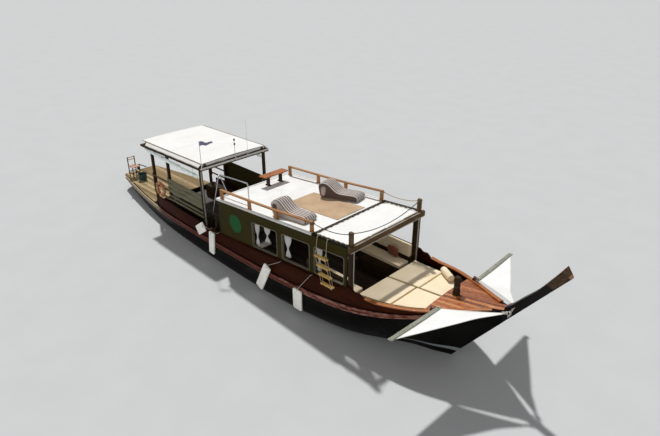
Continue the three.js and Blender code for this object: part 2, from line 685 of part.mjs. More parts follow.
function awningCanvas() {
  const inset = BEAM_WIDTH + GAP;
  const half = ROOF_HALF - inset;
  const sheet = slopedSlab(ROOF_FRONT_X + inset, AWNING_FRONT_X - inset, half, -half, -35, -8);
  const post = FRONT_POST;
  const corner = box([post.aft - 5, post.inner - 5, 0], [post.front + 5, post.outer + 5, 4000]);
  return cut(sheet, [corner, mirrored(corner)]);
}

// Low rail round the sun deck: station and height over the deck.
const ROOF_RAIL_POSTS = [
  { x: -190, up: 330 }, { x: 1210, up: 300 }, { x: 2440, up: 290 }, { x: 3890, up: 320 },
];
const RAIL_Y = 1415;

function roofRail() {
  const posts = ROOF_RAIL_POSTS.map(({ x, up }) => (
    slopedSlab(x - 50, x + 50, RAIL_Y + 35, RAIL_Y - 35, GAP, up - 10)));
  const ends = ROOF_RAIL_POSTS.map(({ x, up }) => [
    [x, RAIL_Y - 45, roofZ(x) + up - 45], [x, RAIL_Y + 45, roofZ(x) + up - 45],
    [x, RAIL_Y + 45, roofZ(x) + up], [x, RAIL_Y - 45, roofZ(x) + up],
  ]);
  return join([...posts, loft(ends)]);
}

const DECK_BENCH = { aft: -140, front: 200, starboard: 20, port: 1010, up: 375, thick: 36 };
const BENCH_LEG_YS = [270, 790];
const BENCH_FOOT_HALF = 32;

function roofBench() {
  const { aft, front, up, thick } = DECK_BENCH;
  const half = BENCH_FOOT_HALF;
  const under = up - thick;
  const plank = slopedSlab(aft, front, DECK_BENCH.port, DECK_BENCH.starboard, under, up);
  const legs = BENCH_LEG_YS.flatMap((y) => [
    slopedSlab(aft + 45, front - 45, y + half, y - half, under - 45, under + 5),
    slopedSlab(aft + 95, front - 95, y + 22, y - 22, GAP, under - 40),
    slopedSlab(aft + 50, front - 50, y + half, y - half, GAP, 40),
  ]);
  return join([plank, ...legs]);
}

// Companion stair from the cockpit up to the sun deck.
const STAIR = { starboard: -1040, port: -480, footX: -1330, headX: -430, treads: 6 };

function stair() {
  const head = roofZ(ROOF_AFT_X) - 60;
  const foot = SOLE_TOP + GAP;
  const members = [STAIR.starboard, STAIR.port - 40].map((y) => sidePlate([[STAIR.footX - 130, foot],
    [STAIR.footX + 60, foot], [STAIR.headX, head], [STAIR.headX - 150, head]], y, y + 40));
  for (let step = 1; step <= STAIR.treads; step++) {
    const part = step / (STAIR.treads + 0.6);
    const x = STAIR.footX - 40 + part * (STAIR.headX - STAIR.footX - 40);
    const z = foot + part * (head - foot);
    members.push(box([x - 110, STAIR.starboard + 20, z - 32], [x + 90, STAIR.port - 20, z]));
  }
  return join(members);
}

function stairHandrail() {
  const y = -1085;
  const landing = (x) => roofZ(x) + 2.4;
  const route = [[-1640, y, SOLE_TOP + 7.2], [-760, y, 2860], [-690, y, 2915], [680, y, 3040],
    [755, y, 2960], [765, y, landing(765)]];
  const tube = bars(route, 19, 10);
  const brace = bars([[-700, y, 2900], [-330, y, landing(-330) + 6.5]], 15, 10);
  return join([tube, brace]);
}

// Soft goods, as plain closed bodies

const PAD_THICK = 105;
const PAD_FRONT_X = 7205;

function sunPad() {
  const rings = stationsBetween(PAD_DECK_AFT_X + 20, PAD_FRONT_X, [PAD_BREAK_X]).map((x) => {
    const half = padHalf(x);
    const low = padDeckZ(x) + GAP;
    return [[x, 8, low], [x, half, low], [x, half, low + PAD_THICK], [x, 8, low + PAD_THICK]];
  });
  return loft(rings);
}

const BOLSTER = { aft: [6450, 1040], front: [6930, 710], radius: 108, sides: 24 };

function bolster() {
  const { aft, front, radius, sides } = BOLSTER;
  const slope = (padDeckZ(7000) - padDeckZ(6000)) / 1000;
  const rise = (radius * Math.cos(Math.PI / sides) + 1.5 * GAP) * Math.hypot(1, slope);
  const z = (x) => padDeckZ(x) + GAP + PAD_THICK + rise;
  return bar([...aft, z(aft[0])], [...front, z(front[0])], radius, sides);
}

const BENCH = { aft: 3600, front: 5195, inner: 770, seat: 1255, back: 1750, backDepth: 130 };

function foreBench() {
  const outer = sheerHalf(BENCH.front) - WELL_MARGIN;
  const foot = SOLE_TOP + GAP;
  const outline = [[BENCH.inner, foot], [outer - 12, foot], [outer - 12, BENCH.back],
    [outer - BENCH.backDepth, BENCH.back], [outer - BENCH.backDepth, BENCH.seat], [BENCH.inner, BENCH.seat]];
  return loft([BENCH.aft, BENCH.front].map((x) => outline.map(([y, z]) => [x, y, z])));
}

const PILLOW = { x: 4680, y: 1075, size: [360, 130, 350], tilt: 0.25 };

function pillow() {
  const { x, y, size, tilt } = PILLOW;
  const rise = (size[2] * Math.cos(tilt) + size[1] * Math.sin(tilt)) / 2 + GAP;
  return new THREE.BoxGeometry(...size).rotateX(tilt).translate(x, y, BENCH.seat + rise);
}

const MAT = { aft: 1750, front: 3880, starboard: -440, port: 690, thick: 18 };

function sunMat() {
  return slopedSlab(MAT.aft, MAT.front, MAT.port, MAT.starboard, GAP, MAT.thick);
}

// Bean-bag lounger in the side view: seat forward, raised back aft.
const LOUNGER_OUTLINE = [[-600, 0], [540, 0], [700, 55], [650, 165], [250, 175], [-40, 205], [-340, 440],
  [-540, 485], [-690, 390]];
const LOUNGER_SEAT_GAP = 0.6;
const LOUNGERS = [
  { name: "lounger_starboard", x: 2740, y: -1010, turn: 0.05, lift: LOUNGER_SEAT_GAP },
  { name: "lounger_port", x: 2780, y: 890, turn: 0.25, lift: MAT.thick + LOUNGER_SEAT_GAP },
];
const LOUNGER_WIDTH = 560;

function lounger({ x, y, turn, lift }) {
  const body = sidePlate(LOUNGER_OUTLINE, -LOUNGER_WIDTH / 2, LOUNGER_WIDTH / 2);
  body.rotateZ(turn);
  body.rotateY(-Math.atan(ROOF_RISE));
  return body.translate(x, y, roofZ(x) + lift);
}

// Boarding ladder of timber treads on two ropes, hung from the awning's side beam.
const LADDER = {
  x: 4210, y: -1605, width: 430, depth: 115, tread: 26, treads: 4, top: 2235, pitch: 248, lean: 75,
};
const LADDER_ROPE_R = 11;

function boardingLadder() {
  const members = [];
  const ropeX = (side) => LADDER.x + (side ? LADDER.width - 35 : 35);
  for (let i = 0; i < LADDER.treads; i++) {
    const x = LADDER.x + i * LADDER.lean;
    const z = LADDER.top - i * LADDER.pitch;
    const [low, high] = [LADDER.y - LADDER.depth / 2, LADDER.y + LADDER.depth / 2];
    members.push(box([x, low, z - LADDER.tread], [x + LADDER.width, high, z]));
  }
  const drop = (LADDER.treads - 1) * LADDER.pitch + 20;
  for (const side of [0, 1]) {
    const x = ropeX(side);
    const shift = LADDER.lean * (LADDER.treads - 1);
    const hook = x - 30;
    const head = roofZ(hook) + LADDER_ROPE_R + 1.5 * GAP;
    members.push(bars([[x + shift, LADDER.y, LADDER.top - drop], [x, LADDER.y, LADDER.top + 20],
      [hook, -ROOF_HALF - 35, head - 60], [hook, -ROOF_HALF - 22, head], [hook, -ROOF_HALF + 90, head]],
    LADDER_ROPE_R, 8));
  }
  return join(members);
}

// Foam board fenders: middle of the top edge, width, length, aft lean, and where the lanyard
// comes over the bulwark.
const FENDERS = [
  { x: -1020, z: 1165, width: 330, length: 480, lean: 0.95, hook: -930 },
  { x: -560, z: 1120, width: 260, length: 800, lean: 0.12, hook: -500 },
  { x: 2310, z: 1090, width: 290, length: 1000, lean: 0.47, hook: 2660 },
  { x: 3590, z: 890, width: 330, length: 650, lean: 0.02, hook: 3960 },
];
const FENDER_THICK = 55;
const LANYARD_R = 7;

function fender({ x, z, width, length, lean, hook }) {
  const outer = Math.max(...[x, x + 200, x - 500].map((at) => sheerHalf(at))) + RAIL_OUT + RAIL_SEAT;
  const board = box([-width / 2, -FENDER_THICK, -length], [width / 2, 0, 0]);
  board.rotateY(lean).translate(x, -outer - GAP, z);
  const tie = [x, -outer - FENDER_THICK * 0.6, z - 40];
  const edge = bulwarkTopOuter(hook);
  const seat = bulwarkTopZ(hook) + LANYARD_R + GAP;
  const route = [tie, [hook - 20, -edge - 45, seat - 20], [hook, -edge - 8, seat + 4],
    [hook, -edge + 22, seat]];
  const lanyard = bars(route, LANYARD_R, 8);
  return join([board, lanyard]);
}

// Aft cockpit

// Canopy posts: centre along the boat and out from the centreline.
const CANOPY_POSTS = [{ x: -4850, y: 1190 }, { x: -3780, y: 1190 }, { x: -1480, y: 1300 }];
const [AFT_POST, MID_POST, FORE_POST] = CANOPY_POSTS;
const HEADER = { inner: 1140, outer: 1210, depth: 75 };
const CANVAS_THICK = 26;
const frameTop = (x) => canopyZ(x) - CANVAS_THICK - GAP;
const EAVE_Y = 1420;
const EAVE_DROP = 90;
const UNDER_EAVE_Y = CANOPY_HALF + 15; // the underside turns down here
const EAVE_BEAM = { inner: 1368, outer: 1414, depth: 78 };
const eaveBeamTop = (x) => frameTop(x) - EAVE_DROP;
const CROSS_BEAM = { xs: [CANOPY_AFT_X + 40, -3400, FORE_POST.x], reach: 1180, half: 40 };
const EAVE_ARM = { reach: EAVE_BEAM.outer - 10, half: 30, depth: 68 };
const FRONT_STEP = { aft: 60, front: 20, depth: 100 }; // beam at the front that carries the poles
const POLES = [
  { y: -1330, height: 845, radius: 11 },
  { y: 0, height: 595, radius: 11 },
  { y: 520, height: 1150, radius: 7 },
];

// A beam along the boat under the canvas; top gives its upper face over x.
function canopyBeam(inner, outer, top, depth) {
  return loft([CANOPY_AFT_X, CANOPY_FRONT_X].map((x) => {
    const high = top(x);
    const low = high - depth;
    return [[x, inner, low], [x, outer, low], [x, outer, high], [x, inner, high]];
  }));
}

function canopyFrame() {
  const half = POST_SIZE / 2;
  const members = [];
  for (const side of [1, -1]) {
    for (const post of CANOPY_POSTS) {
      const { x } = post;
      const y = side * post.y;
      const onLedge = sheerHalf(x) - WELL_MARGIN < post.y + half;
      const foot = (onLedge ? Math.max(sheerZ(x - half), sheerZ(x + half)) : SOLE_TOP) + GAP;
      members.push(box([x - half, y - half, foot], [x + half, y + half, eaveBeamTop(x) - 5]));
    }
    const header = canopyBeam(HEADER.inner, HEADER.outer, frameTop, HEADER.depth + EAVE_DROP);
    const eaveBeam = canopyBeam(EAVE_BEAM.inner, EAVE_BEAM.outer, eaveBeamTop, EAVE_BEAM.depth);
    members.push(...[header, eaveBeam].map((beam) => (side > 0 ? beam : mirrored(beam))));
  }
  for (const x of CROSS_BEAM.xs) {
    const beam = CROSS_BEAM;
    const top = frameTop(x - beam.half) - 1;
    members.push(box([x - beam.half, -beam.reach, top - HEADER.depth], [x + beam.half, beam.reach, top]));
    const arm = EAVE_ARM;
    const armTop = top - EAVE_DROP;
    members.push(box([x - arm.half, -arm.reach, armTop - arm.depth], [x + arm.half, arm.reach, armTop]));
  }
  const stepX = CANOPY_FRONT_X + 25;
  const stepTop = eaveBeamTop(stepX);
  members.push(box([stepX - FRONT_STEP.aft, -EAVE_BEAM.outer, stepTop - FRONT_STEP.depth],
    [stepX + FRONT_STEP.front, EAVE_BEAM.outer, stepTop]));
  for (const { y, height, radius } of POLES) {
    const foot = stepTop - 40;
    members.push(bar([stepX, y, foot], [stepX, y, foot + 100 + height], radius, 8));
  }
  return join(members);
}

// Canvas with a flat crown and dropped eaves.
function canopyCanvas() {
  const rings = [CANOPY_AFT_X - 20, CANOPY_FRONT_X - 60].map((x) => {
    const top = canopyZ(x);
    const under = top - CANVAS_THICK;
    return [[x, -EAVE_Y, under - EAVE_DROP], [x, -UNDER_EAVE_Y, under], [x, UNDER_EAVE_Y, under],
      [x, EAVE_Y, under - EAVE_DROP], [x, EAVE_Y, top - EAVE_DROP], [x, CANOPY_HALF, top], [x, 0, top + 25],
      [x, -CANOPY_HALF, top], [x, -EAVE_Y, top - EAVE_DROP]];
  });
  return loft(rings);
}

// Side curtain rolled up under the eave beam: snug to it aft, hanging lower on a strap forward.
const ROLL = { y: 1352, radius: 64, aft: -4930, front: -1640, frontDrop: 205 };
const ROLL_STRAP = { aft: -1760, width: 45, thick: 8 };

function curtainRoll() {
  const beamFoot = (x) => eaveBeamTop(x) - EAVE_BEAM.depth;
  const { y, radius, aft, front } = ROLL;
  const aftZ = beamFoot(aft) - radius - 1.5 * GAP;
  const frontZ = beamFoot(front) - radius - ROLL.frontDrop;
  const roll = bar([aft, y, aftZ], [front, y, frontZ], radius, 24);
  const strap = ROLL_STRAP;
  const strapY = (EAVE_BEAM.inner + EAVE_BEAM.outer) / 2;
  const tie = box([strap.aft, strapY - strap.thick, frontZ],
    [strap.aft + strap.width, strapY, beamFoot(strap.aft) - GAP]);
  return join([roll, tie]);
}

const PLANKS = [{ low: 1435, high: 1590 }, { low: 1620, high: 1775 }, { low: 1805, high: 1960 }];
const LOWER_RAILS = [{ low: 1120, high: 1180 }, { low: 1260, high: 1330 }];
const AFT_RAILS = [{ low: 1130, high: 1190 }, { low: 1430, high: 1490 }, { low: 1760, high: 1820 }];

const sideRailY = AFT_POST.y + POST_SIZE / 2 + GAP; // inner face of the planks' battens
const PLANKS_FRONT_X = FORE_POST.x - POST_SIZE / 2 - GAP;
const BATTENS = [
  { x: AFT_POST.x, top: 1860 }, { x: MID_POST.x, top: 1965 }, { x: PLANKS_FRONT_X - 60, top: 1965 },
];

function cockpitSide() {
  const members = BATTENS.map(({ x, top }) => box([x - 38, sideRailY, 1075], [x + 38, sideRailY + 26, top]));
  for (const { low, high } of [...PLANKS, ...LOWER_RAILS]) {
    members.push(box([MID_POST.x - 20, sideRailY + 20, low], [PLANKS_FRONT_X, sideRailY + 44, high]));
  }
  for (const { low, high } of AFT_RAILS) {
    members.push(box([AFT_POST.x - 40, sideRailY + 20, low], [MID_POST.x + 30, sideRailY + 42, high]));
  }
  return join(members);
}

const LIFEBUOY = { x: -4270, z: 1400, radius: 235, tube: 58 };

function lifebuoy() {
  const { x, z, radius, tube } = LIFEBUOY;
  const ring = new THREE.TorusGeometry(radius, tube, 12, 28).rotateX(Math.PI / 2);
  return ring.translate(x, -(sideRailY + GAP + 42 + tube), z);
}

// Seats along both sides of the cockpit, on the sole.
const COCKPIT_SEAT = { aft: -4500, front: -1900, width: 420, top: 920 };

function cockpitSeat() {
  const { aft, front, width, top } = COCKPIT_SEAT;
  const outer = sheerHalf(aft) - WELL_MARGIN - 20;
  const [inner, foot] = [outer - width, SOLE_TOP + GAP];
  const outline = [[inner, foot], [outer, foot], [outer, top], [inner, top]];
  return loft([aft, front].map((x) => outline.map(([y, z]) => [x, y, z])));
}

// Small chair on the stern, facing forward.
const CHAIR = { x: -7880, y: -560, legX: 170, legY: 150, legHalf: 18, backTop: 1480, legTop: 1110 };

function helmSeat() {
  const { x, y, legX, legY, legHalf, backTop, legTop } = CHAIR;
  const deck = Math.max(sheerZ(x - 200), sheerZ(x + 200)) + AFT_DECK_THICK + 2 * GAP;
  const members = [];
  for (const legAt of [x - legX, x + legX]) {
    for (const legSide of [y - legY, y + legY]) {
      const foot = [legAt - legHalf, legSide - legHalf, deck];
      members.push(box(foot, [legAt + legHalf, legSide + legHalf, legAt < x ? backTop : legTop]));
    }
  }
  members.push(box([x - 200, y - 180, 1080], [x + 210, y + 180, 1125]));
  members.push(box([x - 185, y - 165, 1330], [x - 160, y + 165, 1470]));
  return join(members);
}

// Wings: a flat boom and a cloth triangle that fold up about the line between the two lashings.
const WING_CLOTH = 12;
const BOOM_WIDTH = 125;
const BOOM_DEPTH = 50;
const CLOTH_ROOT_GAP = 80; // from the lashings to the cloth and the boom
const CLOTH_NOSE_GAP = 75;

function wing() {
  const outward = new THREE.Vector3(0, 1, 0).addScaledVector(wingAxis, -wingAxis.y).normalize();
  const up = new THREE.Vector3().crossVectors(wingAxis, outward).multiplyScalar(-1);
  if (up.z < 0) up.negate();
  const root = WING_ROOT.clone().addScaledVector(wingAxis, CLOTH_ROOT_GAP);
  const nose = WING_NOSE.clone().addScaledVector(wingAxis, -CLOTH_NOSE_GAP);
  const corner = (point, lift) => point.clone().addScaledVector(up, lift).toArray();
  const cloth = loft([-WING_CLOTH / 2, WING_CLOTH / 2].map((lift) => [
    corner(root.clone().addScaledVector(outward, 10), lift), corner(WING_TIP, lift),
    corner(nose.clone().addScaledVector(outward, 22), lift), corner(nose, lift),
  ]));
  const boomStart = root.clone().addScaledVector(outward, 5);
  const along = WING_TIP.clone().sub(boomStart).normalize();
  const across = new THREE.Vector3().crossVectors(up, along).normalize();
  const boomCorner = (point, a, b) => point.clone().addScaledVector(across, a * BOOM_WIDTH / 2)
    .addScaledVector(up, b * BOOM_DEPTH / 2).toArray();
  const rings = [boomStart, WING_TIP.clone().addScaledVector(along, 40)].map((point) => (
    [[-1, -1], [1, -1], [1, 1], [-1, 1]].map(([a, b]) => boomCorner(point, a, b))));
  const rootPin = bar(WING_ROOT.clone().addScaledVector(wingAxis, -EYE_LENGTH * 1.7).toArray(),
    root.clone().addScaledVector(wingAxis, 30).toArray(), PIN_R, EYE_SIDES);
  const nosePin = bar(nose.clone().addScaledVector(wingAxis, -60).toArray(),
    WING_NOSE.clone().addScaledVector(wingAxis, EYE_LENGTH * 0.7).toArray(), PIN_R, EYE_SIDES);
  return join([cloth, loft(rings), rootPin, nosePin]);
}

// Drive and steering

const BLADES = 3;
const BLADE_R = 250;
const BLADE_ROOT_R = 30;
const BLADE_HALF_WIDTH = 88;
const BLADE_THICK = 12;
const BLADE_TWIST = 0.95 + Math.PI / 2;
const HUB_R = 48;

function propeller() {
  const members = [
    bar([PROPELLER_X - 90, 0, SHAFT_Z], [SKEG_AFT_X + SHAFT_INSIDE - 10, 0, SHAFT_Z], SHAFT_R, BORE_SIDES),
    bar([PROPELLER_X - 80, 0, SHAFT_Z], [PROPELLER_X + 70, 0, SHAFT_Z], HUB_R, 20),
  ];
  for (let i = 0; i < BLADES; i++) {
    const outline = new THREE.Shape();
    const [middle, reach] = [(BLADE_R + BLADE_ROOT_R) / 2, (BLADE_R - BLADE_ROOT_R) / 2];
    outline.absellipse(0, middle, BLADE_HALF_WIDTH, reach, 0, Math.PI * 2);
    const pull = { depth: BLADE_THICK, bevelEnabled: false, curveSegments: 12 };
    const blade = new THREE.ExtrudeGeometry(outline, pull).translate(0, 0, -BLADE_THICK / 2);
    blade.rotateX(Math.PI / 2).rotateZ(BLADE_TWIST);
    members.push(blade.rotateX((i * 2 * Math.PI) / BLADES).translate(PROPELLER_X, 0, SHAFT_Z));
  }
  return join(members);
}

const RUDDER = { head: 790, foot: -760, heelAft: -9010, headAft: -8780, half: 24, tiller: 640 };

function rudder() {
  const x = RUDDER_AXIS_X;
  const plate = sidePlate([[x, RUDDER.foot], [x, RUDDER.head], [RUDDER.headAft, RUDDER.head], [-8740, 200],
    [RUDDER.heelAft, -60], [RUDDER.heelAft, RUDDER.foot]], -RUDDER.half, RUDDER.half);
  const notches = GUDGEON_HEIGHTS.map((z) => box([x - 80, -100, z - GUDGEON_HALF_HEIGHT - 15],
    [x + 60, 100, z + GUDGEON_HALF_HEIGHT + 15]));
  const stock = bar([x, 0, RUDDER.foot], [x, 0, RUDDER.head + 60], SHAFT_R, BORE_SIDES);
  const tiller = bar([x - 20, 0, RUDDER.head + 35], [x + RUDDER.tiller, 0, RUDDER.head + 120], 20, 12);
  return join([cut(plate, notches), stock, tiller]);
}

// Assembly

piece("hull", hull(), BLACK, 0.35);
piece("prow", prow(), BLACK, 0.4);
bothSides("rub_rail", rubRail(), FADED_RED, 0.5);
bothSides("bulwark_aft", bulwark(BULWARK_LINES[0].x, BULWARK_BUTTS[0] - GAP), MAHOGANY, 0.45);
bothSides("bulwark", bulwark(...BULWARK_BUTTS), MAHOGANY, 0.45);
bothSides("bulwark_fore", bulwark(BULWARK_BUTTS[1] + GAP, BULWARK_LINES.at(-1).x), MAHOGANY, 0.45);
bothSides("cap_rail", capRail(), VARNISH, 0.4);
piece("pad_deck", padDeck(), DARK_TIMBER);
const bowDeck = camberedDeck(BOW_DECK_AFT_X + GAP, BOW_DECK_FRONT_X, bowDeckZ, bowCrown, bowDeckHalf);
piece("bow_deck", bowDeck, VARNISH, 0.35);
piece("samson_post", samsonPost(), DARK_TIMBER);
piece("aft_deck", aftDeck(), PALE_PLANK, 0.8);
piece("cockpit_sole", cockpitSole(), DARK_TIMBER, 0.7);
piece("cabin_sole", sole(BULKHEAD_FRONT_X + GAP, WELL_FRONT_X - 5), DARK_TIMBER, 0.7);
piece("engine_block", engineBlock(), ENGINE_GREY, 0.5, 0.4);

bothSides("side_panel", sidePanel(), OLIVE, 0.6);
piece("cabin_bulkhead", cabinBulkhead(), OLIVE, 0.6);
piece("roof", slopedSlab(ROOF_AFT_X, ROOF_FRONT_X, ROOF_HALF, -ROOF_HALF, -ROOF_THICK, 0), WHITE, 0.7);
piece("awning_frame", awningFrame(), DARK_TIMBER, 0.6);
piece("awning_canvas", awningCanvas(), WHITE, 0.9);
bothSides("roof_rail", roofRail(), VARNISH, 0.5);
piece("roof_bench", roofBench(), VARNISH, 0.5);
piece("stair", stair(), DARK_TIMBER, 0.6);
piece("stair_handrail", stairHandrail(), STEEL, 0.25, 1);

bothSides("sun_pad", sunPad(), CREAM, 0.9);
piece("bolster", bolster(), CREAM, 0.9);
bothSides("fore_bench", foreBench(), CREAM, 0.9);
piece("pillow", pillow(), TERRACOTTA, 0.9);
piece("sun_mat", sunMat(), MAT_TAN, 0.9);
for (const row of LOUNGERS) piece(row.name, lounger(row), LOUNGER_GREY, 0.9);

piece("boarding_ladder", boardingLadder(), LADDER_YELLOW, 0.7);
FENDERS.forEach((row, i) => piece(`fender_${i + 1}`, fender(row), FOAM, 0.8));

piece("canopy_frame", canopyFrame(), DARK_TIMBER, 0.6);
piece("canopy_canvas", canopyCanvas(), WHITE, 0.9);
bothSides("curtain_roll", curtainRoll(), CLEAR_SHEET, 0.4);
bothSides("cockpit_side", cockpitSide(), WORN_PAINT, 0.7);
bothSides("cockpit_seat", cockpitSeat(), DARK_TIMBER, 0.7);
piece("lifebuoy", lifebuoy(), BUOY_ORANGE, 0.6);
piece("helm_seat", helmSeat(), SEAT_BROWN, 0.7);

bothSides("wing", wing(), WHITE, 0.9);
piece("propeller", propeller(), BRONZE, 0.35, 1);
piece("rudder", rudder(), BLACK, 0.5);

export default boat;
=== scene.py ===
"""Looks of the wooden cruise boat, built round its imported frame.

Metres, +X to the bow, +Y to port, +Z up, with the origin on the centreline at the waterline.
"""

import math

import bmesh
import bpy
from mathutils import Matrix, Vector
from mathutils.bvhtree import BVHTree


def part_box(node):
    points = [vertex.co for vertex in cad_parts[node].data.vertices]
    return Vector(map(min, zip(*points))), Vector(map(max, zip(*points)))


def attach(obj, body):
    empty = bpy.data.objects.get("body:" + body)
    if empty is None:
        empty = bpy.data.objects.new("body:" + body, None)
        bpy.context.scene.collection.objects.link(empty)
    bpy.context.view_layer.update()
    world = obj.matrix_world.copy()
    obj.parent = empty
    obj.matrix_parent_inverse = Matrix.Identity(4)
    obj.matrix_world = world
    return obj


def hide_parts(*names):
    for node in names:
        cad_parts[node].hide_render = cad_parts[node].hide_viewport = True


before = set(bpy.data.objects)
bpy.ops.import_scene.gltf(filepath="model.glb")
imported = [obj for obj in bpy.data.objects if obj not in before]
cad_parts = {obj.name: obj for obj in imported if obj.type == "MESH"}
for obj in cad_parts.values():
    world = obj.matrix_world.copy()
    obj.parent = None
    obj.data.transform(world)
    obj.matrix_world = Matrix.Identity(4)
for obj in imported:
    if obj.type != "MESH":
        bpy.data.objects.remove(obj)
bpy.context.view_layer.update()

UP, FORE = Vector((0, 0, 1)), Vector((1, 0, 0))
SIDES = {"port": 1, "starboard": -1}

# Lines shared with the model

ROOF_Z, ROOF_BEAM_X, ROOF_RISE, ROOF_HALF, ROOF_THICK = 2.71, 4.0, 0.09, 1.5, 0.08
ROOF_AFT_X, ROOF_FRONT_X = -0.4, 3.95
ROOF_NORMAL = (-0.0896, 0, 0.996)
AWNING_FRONT_X = 5.38
PANEL_OUTER, PANEL_THICK, PANEL_DROP = 1.45, 0.04, 1.27
WINDOW_TOP_DROP, WINDOW_FOOT_DROP = 0.37, 1.19
WINDOWS = [(1.33, 2.47), (2.69, 3.83), (4.01, 5.11)]
SOLE_TOP = 0.4803
CANOPY_AFT_X, CANOPY_FRONT_X, CANOPY_MID_Z, CANOPY_RISE = -5.2, -1.35, 3.09, 0.026
CANVAS_THICK = 0.026
POST_SIZE = 0.09
STEM_WATER_X, STEM_SLOPE = 7.58, 1.367

# Hull lines: station, keel height, half breadth and height of the sheer, fullness, hollow.
HULL_COLUMNS = ("x", "keel", "half", "sheer", "full", "hollow")
HULL_LINES = [dict(zip(HULL_COLUMNS, row)) for row in (
    (-8.5, -0.06, 0.70, 0.600, 3.5, 1), (-7.2, -0.23, 0.96, 0.600, 4, 1), (-6.0, -0.40, 1.16, 0.605, 4.5, 1),
    (-4.8, -0.54, 1.32, 0.615, 5, 1), (-3.7, -0.62, 1.44, 0.640, 5, 1), (-2.0, -0.68, 1.55, 0.710, 5, 1),
    (-0.4, -0.70, 1.61, 0.790, 5, 1), (1.0, -0.70, 1.64, 0.840, 5, 1), (2.4, -0.70, 1.65, 0.890, 4.5, 1),
    (4.0, -0.69, 1.635, 1.010, 3.5, 1), (5.2, -0.67, 1.59, 1.160, 2.6, 1),
    (6.1, -0.63, 1.47, 1.330, 1.7, 1.1), (6.7, -0.59, 1.32, 1.470, 1.15, 1.2),
    (7.2, -0.50, 1.12, 1.600, 1, 1.3), (7.6, 0.0, 0.90, 1.700, 1, 1.3), (8.0, 0.544, 0.65, 1.810, 1, 1.2),
    (8.4, 1.091, 0.39, 1.920, 1, 1.1), (8.85, 1.706, 0.115, 2.060, 1, 1),
)]
KEEL_HALF, STRAKE_DEPTH = 0.045, 0.19

# Bulwark: inward lean of its top edge and height of the top.
BULWARK_COLUMNS = ("x", "lean", "top")
BULWARK_LINES = [dict(zip(BULWARK_COLUMNS, row)) for row in (
    (-4.6, 0.04, 1.0), (-3.7, 0.09, 1.03), (-0.4, 0.13, 1.0435), (5.19, 0.105, 1.5466), (5.215, 0.105, 1.65),
    (5.36, 0.097, 1.65), (5.395, 0.095, 1.642), (5.42, 0.093, 1.62), (5.45, 0.09, 1.598),
    (5.49, 0.087, 1.588), (5.54, 0.085, 1.59), (5.58, 0.082, 1.602), (5.62, 0.08, 1.604),
    (5.66, 0.077, 1.592), (5.70, 0.075, 1.562), (5.74, 0.072, 1.532), (5.80, 0.07, 1.515),
    (6.1, 0.06, 1.505), (7.2, 0.04, 1.665), (8.0, 0.03, 1.845), (8.6, 0.02, 1.995),
)]
BULWARK_THICK, BULWARK_INSET = 0.05, 0.02
CAP_WIDTH, CAP_THICK, CAP_OVERHANG, CAP_AFT_X = 0.115, 0.038, 0.025, 5.81
GAP = 0.0003

WING_ROOT = Vector((7.53, 0.9, 1.85))
WING_NOSE = Vector((8.99, 0.17, 2.075))
WING_TIP = Vector((7.55, 2.57, 1.87))
WING_AXIS = (WING_NOSE - WING_ROOT).normalized()


def roof_z(x):
    return ROOF_Z + (x - ROOF_BEAM_X) * ROOF_RISE


def on_roof(x, y, up=0.0):
    return Vector((x, y, roof_z(x) + up))


def canopy_z(x):
    return CANOPY_MID_Z + (x - (CANOPY_AFT_X + CANOPY_FRONT_X) / 2) * CANOPY_RISE


def between(table, x):
    i = 0
    while i < len(table) - 2 and x > table[i + 1]["x"]:
        i += 1
    return i


def faired(column, x):
    """Smooth value of one column of the hull lines, by cubic curves with averaged slopes."""
    table, last = HULL_LINES, len(HULL_LINES) - 1

    def slope(k):
        a, b = table[max(k - 1, 0)], table[min(k + 1, last)]
        return (b[column] - a[column]) / (b["x"] - a["x"])

    i = between(table, x)
    a, b = table[i], table[i + 1]
    width = b["x"] - a["x"]
    t = (x - a["x"]) / width
    value = a[column] * (2 * t**3 - 3 * t**2 + 1) + b[column] * (3 * t**2 - 2 * t**3)
    return value + width * (slope(i) * (t**3 - 2 * t**2 + t) + slope(i + 1) * (t**3 - t**2))


def straight(table, column, x):
    i = between(table, x)
    a, b = table[i], table[i + 1]
    return a[column] + (b[column] - a[column]) * (x - a["x"]) / (b["x"] - a["x"])


def keel_z(x):
    return (x - STEM_WATER_X) * STEM_SLOPE - 0.03 if x > STEM_WATER_X else faired("keel", x)


def sheer_z(x):
    return faired("sheer", x)


def sheer_half(x):
    return faired("half", x)


def hull_half(x, z):
    """Half breadth of the hull at a height below the top strake."""
    keel = keel_z(x)
    level = min(max((z - keel) / (sheer_z(x) - keel), 0), 1)
    full, hollow = faired("full", x), faired("hollow", x)
    return KEEL_HALF + (sheer_half(x) - KEEL_HALF) * (1 - (1 - level**hollow) ** full)


def strake_foot(x):
    keel = keel_z(x)
    return max(sheer_z(x) - STRAKE_DEPTH, keel + (sheer_z(x) - keel) * 0.3)


def bulwark_outer(x):
    return sheer_half(x) - straight(BULWARK_LINES, "lean", x)


def bulwark_top(x):
    return straight(BULWARK_LINES, "top", x)


def steps(start, end, step):
    count = max(1, round(abs(end - start) / step))
    return [start + (end - start) * i / count for i in range(count + 1)]


# Mesh building

def rounded(width, depth, radius, turns=2):
    """A rectangle with rounded corners, as (across, up) points round its centre."""
    radius = min(radius, width * 0.45, depth * 0.45)
    points = []
    for quarter, (sy, sz) in enumerate(((1, 1), (-1, 1), (-1, -1), (1, -1))):
        for i in range(turns + 1):
            a = math.pi / 2 * (quarter + i / turns)
            points.append((sy * (width / 2 - radius) + radius * math.cos(a),
                           sz * (depth / 2 - radius) + radius * math.sin(a)))
    return points


def angles(count):
    return [2 * math.pi * i / count for i in range(count)]


def ring_of(sides):
    """Points round a circle of radius 1."""
    return [(math.cos(a), math.sin(a)) for a in angles(sides)]


